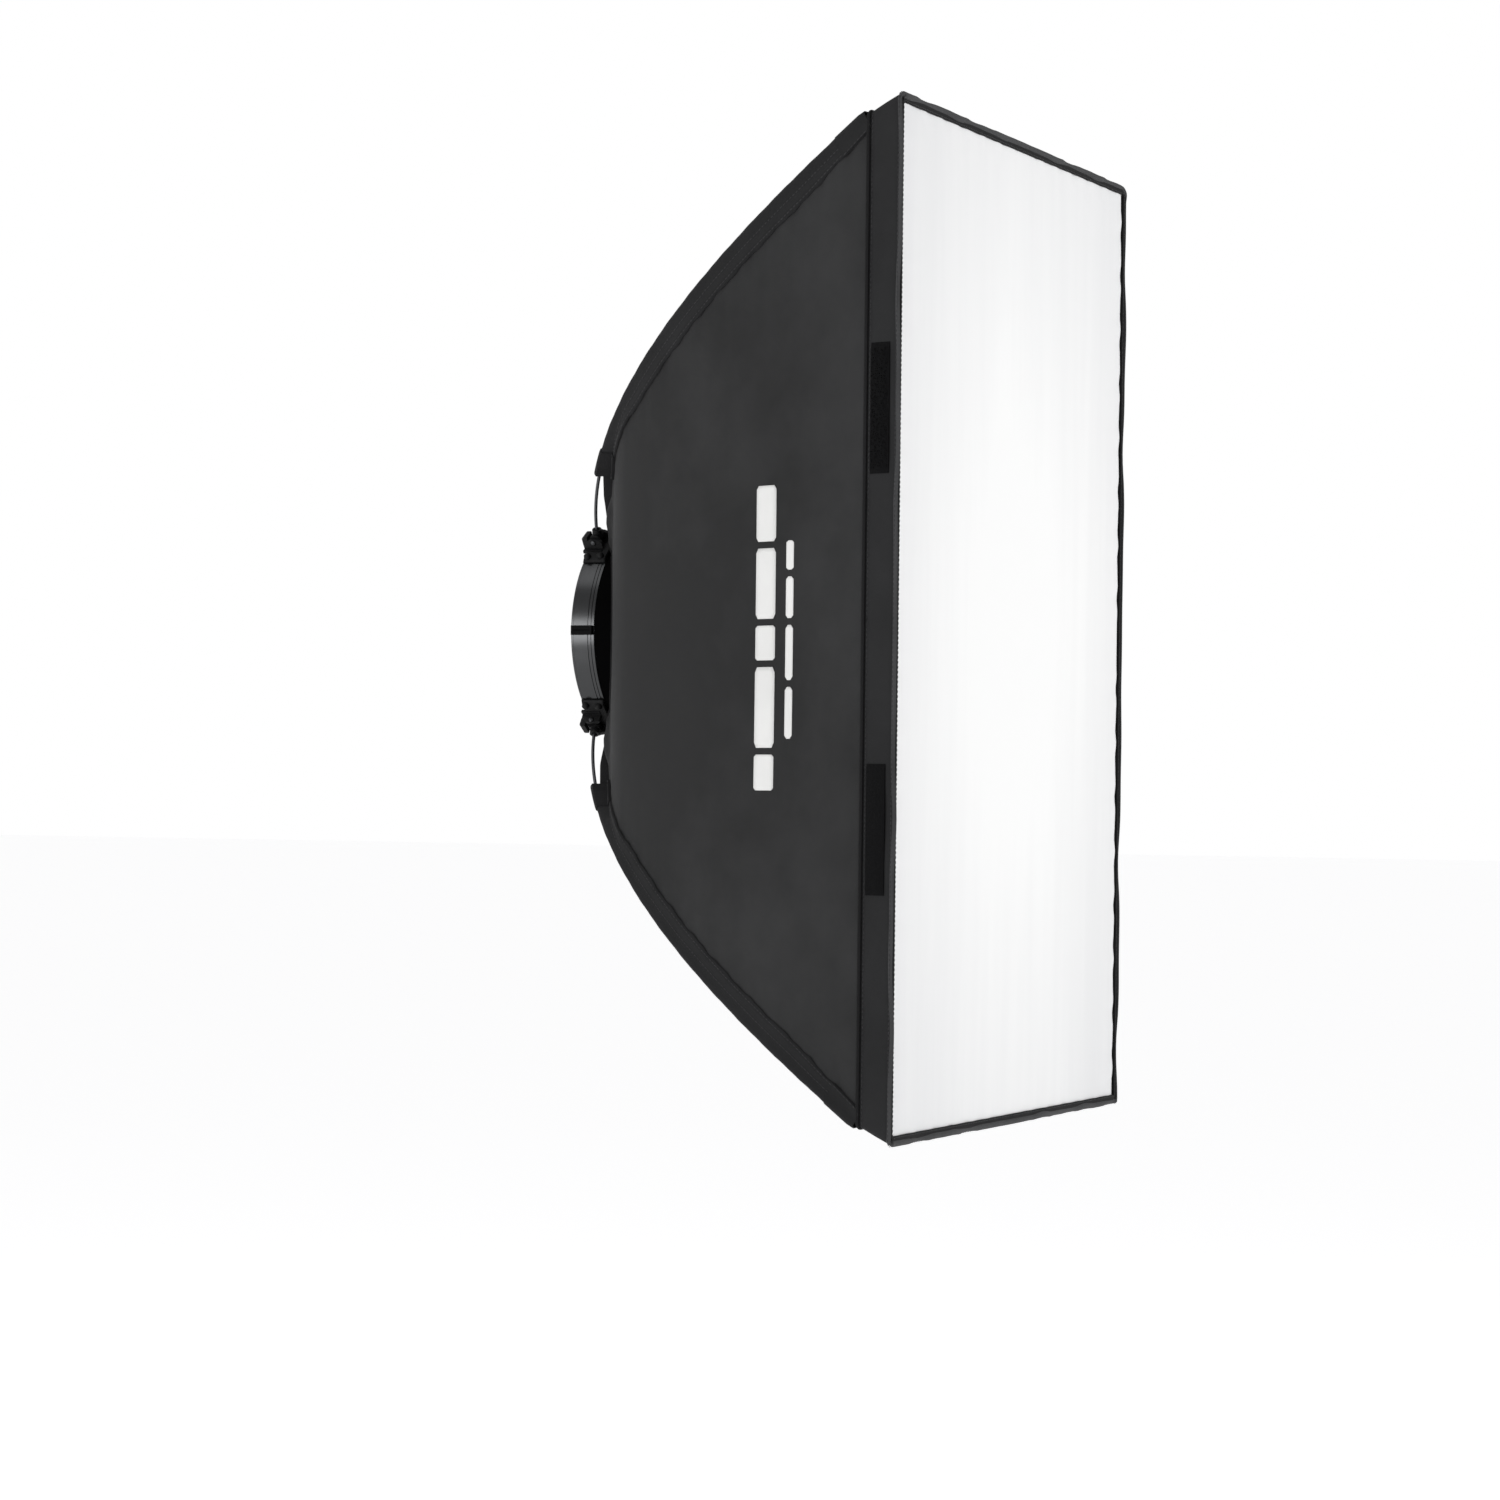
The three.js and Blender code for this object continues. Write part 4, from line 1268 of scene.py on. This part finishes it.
def printed_blocks(label, quadrant, blocks, low_r, high_r):
    """Blocks of ink, from low_r to high_r across the print and each (start, end) along it."""
    profile_r, _, _, lengths = panel_profile()
    points, faces, uv = [], [], []
    for start, end in blocks:
        rows, columns = 5, 16
        inset = min(0.002, (end - start) / 4)
        along = np.linspace(start, end, columns)
        into_end = (inset - np.minimum(along - start, end - along)).clip(0) / inset
        corner = np.sqrt(np.clip(1 - into_end**2, 0, 1))
        half = (high_r - low_r) / 2 - inset * (1 - corner)
        radius = (low_r + high_r) / 2 + np.linspace(-1, 1, rows)[:, None] * half[None, :]
        across = np.broadcast_to(along, radius.shape)
        length = np.interp(radius, profile_r, lengths)
        share = across / (TALL * radius)
        grid = place("side", quadrant, *drape("side", radius, length, share, 0.0003))
        base = len(points)
        points += list(grid.reshape(-1, 3))
        uv += list(np.stack([length, across], -1).reshape(-1, 2))
        faces += [tuple(base + i for i in face) for face in grid_faces(rows, columns)]
    piece = add_piece("printed_bars_" + label, points, faces, PRINT)
    lay_uv(piece, uv)
    face_towards(piece, (quadrant[1], 0, 0))
    thicken(piece, INK_THICKNESS)
    return follow_rod(piece)


INK_THICKNESS = 0.00015
WIDE_BAR = (0.432, 0.451)
THIN_BAR = (0.461, 0.468)
prints = [
    printed_blocks("upper_wide", QUADRANTS[0], [(0.003, 0.066), (0.072, 0.122)], *WIDE_BAR),
    printed_blocks("upper_thin", QUADRANTS[0], [(0.003, 0.040), (0.046, 0.072)], *THIN_BAR),
    printed_blocks(
        "lower_wide", QUADRANTS[2], [(0.003, 0.034), (0.040, 0.112), (0.118, 0.150)], *WIDE_BAR
    ),
    printed_blocks("lower_thin", QUADRANTS[2], [(0.003, 0.052), (0.058, 0.104)], *THIN_BAR)
]
print("printed pieces:", len(prints))

# %% [markdown]
# ## The speed ring and its fittings
# The ring is turned: a profile spun about the axis. Two shallow grooves near its front edge and
# small chamfers catch the light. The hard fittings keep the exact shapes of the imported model; a
# copy of each is merged and its edges are rounded, because no real edge is perfectly sharp.

# %% The ring
COLLAR_FLUTES = 44
GROOVE_DEPTH = 0.0006


def lathe_piece(name, profile, finish, steps=180, flutes=0.0):
    """A profile of (distance from the axis, Y) spun about the axis; flutes ripples it round."""
    rings = []
    for a in np.linspace(0, 2 * math.pi, steps, endpoint=False):
        swell = flutes * math.sin(COLLAR_FLUTES * a)
        rings.append(
            [((r + swell) * math.cos(a), y, (r + swell) * math.sin(a)) for r, y in profile]
        )
    return sweep_piece(name, np.array(rings), finish, closed=True, sharp=25)


def ring_profile():
    """The ring's section, with a groove cut at each of two places near the front."""
    outer = RING_R
    wall = 0.0037
    edge = 0.0007
    profile = [(0.0803, 0.0), (0.0800, -0.0003), (0.0800, -0.0057), (0.0803, -0.006)]
    profile += [
        (outer - wall, -0.006), (outer - wall, RING_FRONT_Y + 0.0003),
        (outer - wall + 0.0003, RING_FRONT_Y)
    ]
    profile += [(outer - edge, RING_FRONT_Y), (outer, RING_FRONT_Y + edge)]
    for groove in (RING_FRONT_Y + 0.0028, RING_FRONT_Y + 0.0062):
        profile += [
            (outer, groove), (outer - GROOVE_DEPTH, groove + 0.0003),
            (outer - GROOVE_DEPTH, groove + 0.0009), (outer, groove + 0.0012)
        ]
    profile += [
        (outer, -0.0030), (outer - 0.0004, -0.0026), (outer - 0.0004, -edge),
        (outer - edge - 0.0004, 0.0)
    ]
    return profile


ring = lathe_piece("ring_turned", ring_profile(), RING_METAL)
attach(ring, "softbox")
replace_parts(ring, "speed_ring")
collar_low, collar_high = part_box("light_seal_collar")
collar_r, rear, front = collar_high.x, collar_high.y, collar_low.y
waist = -0.035  # where the cloth draws in a little
collar_profile = [
    (collar_r - 0.0016, rear), (collar_r - 0.0020, waist), (collar_r - 0.0016, front),
    (collar_r - 0.0008, front - 0.0006), (collar_r - 0.0002, front), (collar_r - 0.0006, waist),
    (collar_r - 0.0002, rear)
]
# Its near-black cloth is part real collar, part painted shade for the gap.
collar = lathe_piece("light_seal", collar_profile, COLLAR, 264, 0.0004)
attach(collar, "softbox")
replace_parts(collar, "light_seal_collar")
print("ring and collar turned")

# %% Hard fittings with rounded edges
BARREL_KEPT = 0.005  # of the socket's barrel, from the hinge outwards
BARREL_SHARE = 0.42  # what is left of the rest
CHEEK_KEPT = 0.1055  # distance from the axis up to which a bracket keeps its shape
CHEEK_SHARE = 0.5
PIN_SHARE = 0.62
SHARP_EDGE = math.radians(35)  # edges that turn more than this are rounded


def shorter_barrel(point, quadrant):
    """Move a point of a rod's socket nearer to the hinge, so that the barrel ends short."""
    _, sign_x, sign_z = quadrant
    slope = math.cos(START_SLOPE)
    along = Vector((sign_x * WIDE * slope, -math.sin(START_SLOPE), sign_z * TALL * slope))
    pivot = Vector((sign_x * WIDE * PIVOT[0], PIVOT[1], sign_z * TALL * PIVOT[0]))
    beyond = max(0.0, (point - pivot).dot(along) - BARREL_KEPT)
    return point - along * beyond * (1 - BARREL_SHARE)


def lower_cheeks(point, quadrant):
    """Bring the top of a bracket's cheeks nearer to the ring."""
    out = Vector((quadrant[1] * WIDE, 0, quadrant[2] * TALL))
    return point - out * max(0.0, point.dot(out) - CHEEK_KEPT) * (1 - CHEEK_SHARE)


def slimmer_pin(point, quadrant):
    """Shrink a pin round its own centre line."""
    out = Vector((quadrant[1] * WIDE, 0, quadrant[2] * TALL))
    slim = point - out * (point.dot(out) - PIVOT[0]) * (1 - PIN_SHARE)
    slim.y = PIVOT[1] + (point.y - PIVOT[1]) * PIN_SHARE
    return slim


def rounded_copy(node, finish, slot, radius, segments=2, reshape=None, quadrant=None):
    """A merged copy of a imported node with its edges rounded, standing for it."""
    source = frame["nodes"][node]
    mesh = source.data.copy()
    mesh.name = node + "_finished"
    work = bmesh.new()
    work.from_mesh(mesh)
    bmesh.ops.remove_doubles(work, verts=work.verts, dist=1e-6)
    bmesh.ops.dissolve_limit(
        work, angle_limit=math.radians(1.5), verts=work.verts, edges=work.edges
    )
    if reshape:
        for vert in work.verts:
            vert.co = reshape(vert.co, quadrant)
    work.to_mesh(mesh)
    work.free()
    piece = new_object(node + "_finished", mesh)
    mesh.materials.clear()
    mesh.materials.append(finish)
    shade_smooth(mesh)
    mesh.set_sharp_from_angle(angle=SHARP_EDGE)
    bevel = piece.modifiers.new("rounded", "BEVEL")
    bevel.width = radius
    bevel.segments = segments
    bevel.limit_method = "ANGLE"
    bevel.angle_limit = SHARP_EDGE
    bevel.harden_normals = True
    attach(piece, source["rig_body"])
    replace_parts(piece, node)
    return piece


fittings = [
    rounded_copy("mount_insert", INSERT_METAL, "insert_metal", 0.0004),
    rounded_copy("insert_retainer", INSERT_METAL, "insert_metal", 0.0004),
    rounded_copy("rotation_lock", LOCK_PLASTIC, "black_plastic", 0.0005, 3)
]
hinge_parts = [
    ("bracket", PLASTIC, "black_plastic", 0.0006, 3, lower_cheeks),
    ("socket", PLASTIC, "black_plastic", 0.0005, 3, shorter_barrel),
    ("release", PLASTIC, "black_plastic", 0.0007, 3, None),
    ("pin", STEEL, "pin_steel", 0.0003, 2, slimmer_pin)
]
for quadrant in QUADRANTS:
    for part, *look in hinge_parts:
        fittings.append(rounded_copy(f"rod_{part}_{quadrant[0]}", *look, quadrant))
print("hard fittings:", len(fittings))

# %% [markdown]
# A rod follows a rule: one round section along one curve. That is what Curve to Mesh does, so a
# small tree makes it, with the radius and the number of sides as its inputs.

# %% The rods


def rod_tree():
    tree, given = new_tree("rod_along_curve", {"Rod Radius": ROD_R, "Sides": 20})
    path = add_node(tree, "GeometryNodeMeshToCurve", {"Mesh": given["Geometry"]})
    inputs = {"Resolution": given["Sides"], "Radius": given["Rod Radius"]}
    section = add_node(tree, "GeometryNodeCurvePrimitiveCircle", inputs)
    inputs = {"Curve": path.outputs[0], "Profile Curve": section.outputs[0], "Fill Caps": True}
    bar = add_node(tree, "GeometryNodeCurveToMesh", inputs)
    return finish_tree(tree, given, bar.outputs[0])


RODS = rod_tree()


def rod_piece(quadrant):
    name = quadrant[0]
    points, _ = seam(np.linspace(0.0125, 0.985, 130))
    path = on_corner(quadrant, points[:, 0], points[:, 1])
    values = {"Rod Radius": ROD_R, "Sides": 20, "Material": ROD}
    base = edge_rows("rod_path_" + name, [path])
    piece = grow("rod_bar_" + name, base, RODS, values)
    point_outwards(piece)
    piece.data.set_sharp_from_angle(angle=math.radians(50))
    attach(piece, "rod_" + name)
    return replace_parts(piece, "rod_" + name)


rods = [rod_piece(q) for q in QUADRANTS]
print("rods:", len(rods))

# %% [markdown]
# Each hinge bracket is held by a saddle that hugs the ring's band, with rounded pads at its ends.
# A pale button stands on one end of it. Both are swept or turned like the ring itself.

# %% Saddles, pads and buttons
SADDLE_THICK = 0.0034


def band_point(quadrant, angle, radius, y):
    """A point round the ring from a corner's direction, towards the panel at the side."""
    _, sign_x, sign_z = quadrant
    turned = math.atan2(TALL, WIDE) - angle
    return np.array([sign_x * radius * math.cos(turned), y, sign_z * radius * math.sin(turned)])


def saddle(quadrant):
    angles = np.linspace(-0.19, 0.27, 40)
    from_end = np.minimum(angles - angles[0], angles[-1] - angles)
    thick = SADDLE_THICK * np.minimum(1, from_end / 0.03 * 0.6 + 0.45)
    low = RING_R + 0.0002
    outline = [
        (0.0, -0.0225), (0.45, -0.0240), (0.9, -0.0232), (1.0, -0.0215), (0.93, -0.0150),
        (1.0, -0.0085), (1.0, -0.0030), (0.9, -0.0014), (0.45, -0.0008), (0.0, -0.0020)
    ]
    rings = [
        [band_point(quadrant, a, low + t * rise, y) for rise, y in outline]
        for a, t in zip(angles, thick)
    ]
    piece = sweep_piece("bracket_saddle_" + quadrant[0], np.array(rings), PLASTIC)
    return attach(piece, "softbox")


def turned_button(quadrant, name, angle, y, profile, finish):
    """A small round part standing out from the ring's band."""
    out = band_point(quadrant, angle, 1.0, 0.0)
    rings = turned_rings(BACK * y, out, np.cross(out, BACK), BACK, profile)
    piece = sweep_piece(f"{name}_{quadrant[0]}", rings, finish, closed=True)
    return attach(piece, "softbox")


PAD = [
    (0.0001, 0.1000), (0.0034, 0.1000), (0.0036, 0.1035), (0.0031, 0.1055), (0.0018, 0.1066),
    (0.0001, 0.1070)
]
DOME = [
    (0.0001, 0.0985), (0.0052, 0.0985), (0.0056, 0.1020), (0.0052, 0.1048), (0.0040, 0.1070),
    (0.0022, 0.1082), (0.0001, 0.1086)
]
buttons = [
    ("saddle_pad_rear", 0.225, -0.0052, PAD, PLASTIC),
    ("saddle_pad_front", 0.215, -0.0185, PAD, PLASTIC),
    ("lock_button", -0.135, -0.0095, DOME, GREY_PLASTIC)
]
hinge_trim = []
for quadrant in QUADRANTS:
    hinge_trim.append(saddle(quadrant))
    hinge_trim += [turned_button(quadrant, *button) for button in buttons]
print("hinge trim:", len(hinge_trim))

# %% [markdown]
# ## Screws
# Small socket screws hold the retainer to the ring. One screw is turned and its socket sunk, and a
# tree copies it to each place, turned to face the way that a stored direction gives.

# %% Screw tree


def screw_head():
    """A low round head with a six-sided socket, one unit in radius, facing +Z."""
    count = 24
    angles = [2 * math.pi * i / count for i in range(count)]
    levels = [(1.0, 0.0), (1.0, 0.45), (0.9, 0.6), (0.52, 0.62)]
    rings = [[(radius, height)] * count for radius, height in levels]
    for height in (0.6, 0.15):
        rings.append([(0.42 / math.cos((a % (math.pi / 3)) - math.pi / 6), height) for a in angles])
    points = [
        (r * math.cos(a), r * math.sin(a), z) for ring in rings for (r, z), a in zip(ring, angles)
    ]
    faces = []
    for low in range(0, count * (len(rings) - 1), count):
        for i in range(count):
            k = (i + 1) % count
            faces.append((low + i, low + k, low + count + k, low + count + i))
    faces.append(tuple(range(len(points) - count, len(points))))
    faces.append(tuple(reversed(range(count))))
    return plain_mesh("screw_shape", points, [], faces)


def screw_tree(head):
    tree, given = new_tree("screw_places", {"Head Radius": 0.002})
    inputs = {"Name": "facing"}
    kind = "GeometryNodeInputNamedAttribute"
    facing = add_node(tree, kind, inputs, data_type="FLOAT_VECTOR")
    turned = turned_along(tree, facing.outputs["Attribute"])
    shape = add_node(tree, "GeometryNodeObjectInfo", {"Object": head}).outputs["Geometry"]
    return copies_tree(tree, given, given["Geometry"], shape, turned, given["Head Radius"])


HEAD = screw_head()
SCREWS = screw_tree(HEAD)


def screws(name, places, radius, finish, body):
    """Screws at (point, facing) places, as one piece."""
    base = plain_mesh(name + "_places", [p for p, _ in places], [], [])
    facing = base.data.attributes.new("facing", "FLOAT_VECTOR", "POINT")
    facing.data.foreach_set("vector", np.array([f for _, f in places], np.float32).ravel())
    piece = grow(name, base, SCREWS, {"Head Radius": radius, "Material": finish})
    piece.data.set_sharp_from_angle(angle=SHARP_EDGE)
    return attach(piece, body)


def around(radius, y, count, turn, facing_y):
    angles = [turn + 2 * math.pi * i / count for i in range(count)]
    return [((radius * math.cos(a), y, radius * math.sin(a)), (0, facing_y, 0)) for a in angles]


ring_screws = screws(
    "ring_rear_screws", around(0.0895, 0.0, 8, 0.2, 1), 0.0026, STEEL, "softbox"
)
retainer_screws = screws(
    "retainer_screws", around(0.0910, -0.012, 8, 0.5, -1), 0.0022, STEEL, "softbox"
)
bpy.data.objects.remove(HEAD)
print("screws:", [len(p.data.polygons) for p in (ring_screws, retainer_screws)])

# %% [markdown]
# Each panel half, the diffuser and the baffle are sheets stretched on the rods. The panel halves'
# flat sizes are measured from the same curves that made them; this cell only counts the sheets.

print("sheets declared:", len(panels) + 8)

# %% [markdown]
# ## Stage, light and camera
# The floor is plain and pale, well below the box, because a softbox hangs on a stand. The room is
# white where the camera looks, and a little darker above and below for everything else, which is
# what gives the round metal ring its bright middle and dark edges.

# %% Floor and room
FLOOR_Z = -1.05


def floor_finish():
    finish = Finish("pale_floor", (0.9, 0.9, 0.9), 0.9)
    finish.set("Specular IOR Level", 0.1)
    finish.set("Emission Color", (1, 1, 1, 1))
    finish.set("Emission Strength", 0.52)
    return finish.material


floor_corners = [(-60, -60, FLOOR_Z), (60, -60, FLOOR_Z), (60, 60, FLOOR_Z), (-60, 60, FLOOR_Z)]
floor = add_piece("floor", floor_corners, [(0, 1, 2, 3)], floor_finish())


def make_room():
    world = bpy.data.worlds.new("white_room")
    bpy.context.scene.world = world
    world.use_nodes = True
    tree = world.node_tree
    tree.nodes.clear()
    place_at = add_node(tree, "ShaderNodeTexCoord").outputs["Generated"]
    height = add_node(tree, "ShaderNodeSeparateXYZ", {0: place_at}).outputs["Z"]
    lit = add_node(tree, "ShaderNodeMapRange", {"Value": height, "From Min": -1})
    ramp = add_node(tree, "ShaderNodeValToRGB", {"Fac": lit.outputs[0]})
    stops = ramp.color_ramp.elements
    stops[0].color = (0.30, 0.30, 0.31, 1)
    stops[1].color = (0.42, 0.42, 0.43, 1)
    for position, level in ((0.5, 1.0), (0.36, 0.55), (0.64, 0.62)):
        stops.new(position).color = (level, level, level, 1)
    inputs = {"Color": ramp.outputs["Color"], "Strength": 0.95}
    room = add_node(tree, "ShaderNodeBackground", inputs)
    seen = add_node(tree, "ShaderNodeBackground", {"Color": (1, 1, 1, 1)})
    camera_ray = add_node(tree, "ShaderNodeLightPath").outputs["Is Camera Ray"]
    inputs = {"Fac": camera_ray, 1: room.outputs[0], 2: seen.outputs[0]}
    mix = add_node(tree, "ShaderNodeMixShader", inputs)
    add_node(tree, "ShaderNodeOutputWorld", {"Surface": mix.outputs[0]})


make_room()
print("floor at", FLOOR_Z)

# %% Lights


def area_light(name, place_at, target, size, power):
    data = bpy.data.lights.new(name, "AREA")
    data.shape = "RECTANGLE"
    data.size, data.size_y = size
    data.energy = power
    lamp = new_object(name, data)
    lamp.location = place_at
    lamp.rotation_euler = (Vector(target) - Vector(place_at)).to_track_quat("-Z", "Y").to_euler()


area_light("front_light", (0.9, -3.4, 0.8), (0, -0.4, 0), (2.2, 2.2), 22)
area_light("side_light", (-3.0, 1.31, 0.1), (0, 0, 0), (1.0, 1.3), 26)
area_light("high_light", (-1.2, 0.6, 2.8), (0, -0.2, 0), (2.0, 2.0), 16)
print("lights placed")

# %% Camera
CAMERA_PLACE = Vector((-3.6651, -1.7476, -0.1533))
LENS = 100.42
SENSOR = 36.0
RIGHT = Vector((0.40074, -0.91612, 0.01175))
DOWN = Vector((0.01434, -0.00655, -0.99988))
FORWARD = Vector((0.91608, 0.40086, 0.01051))


def make_camera():
    data = bpy.data.cameras.new("camera")
    data.lens = LENS
    data.sensor_width = SENSOR
    data.clip_start = 0.05
    data.clip_end = 200
    camera = new_object("camera", data)
    turn = Matrix((RIGHT, -DOWN, -FORWARD)).transposed()
    camera.matrix_world = Matrix.Translation(CAMERA_PLACE) @ turn.to_4x4()
    bpy.context.scene.camera = camera


make_camera()
bpy.context.scene.view_settings.view_transform = "Standard"
print("camera set")

# %% Sizes and finish
print("packed:", [round(v, 4) for v in (*cad_low, *cad_high)])
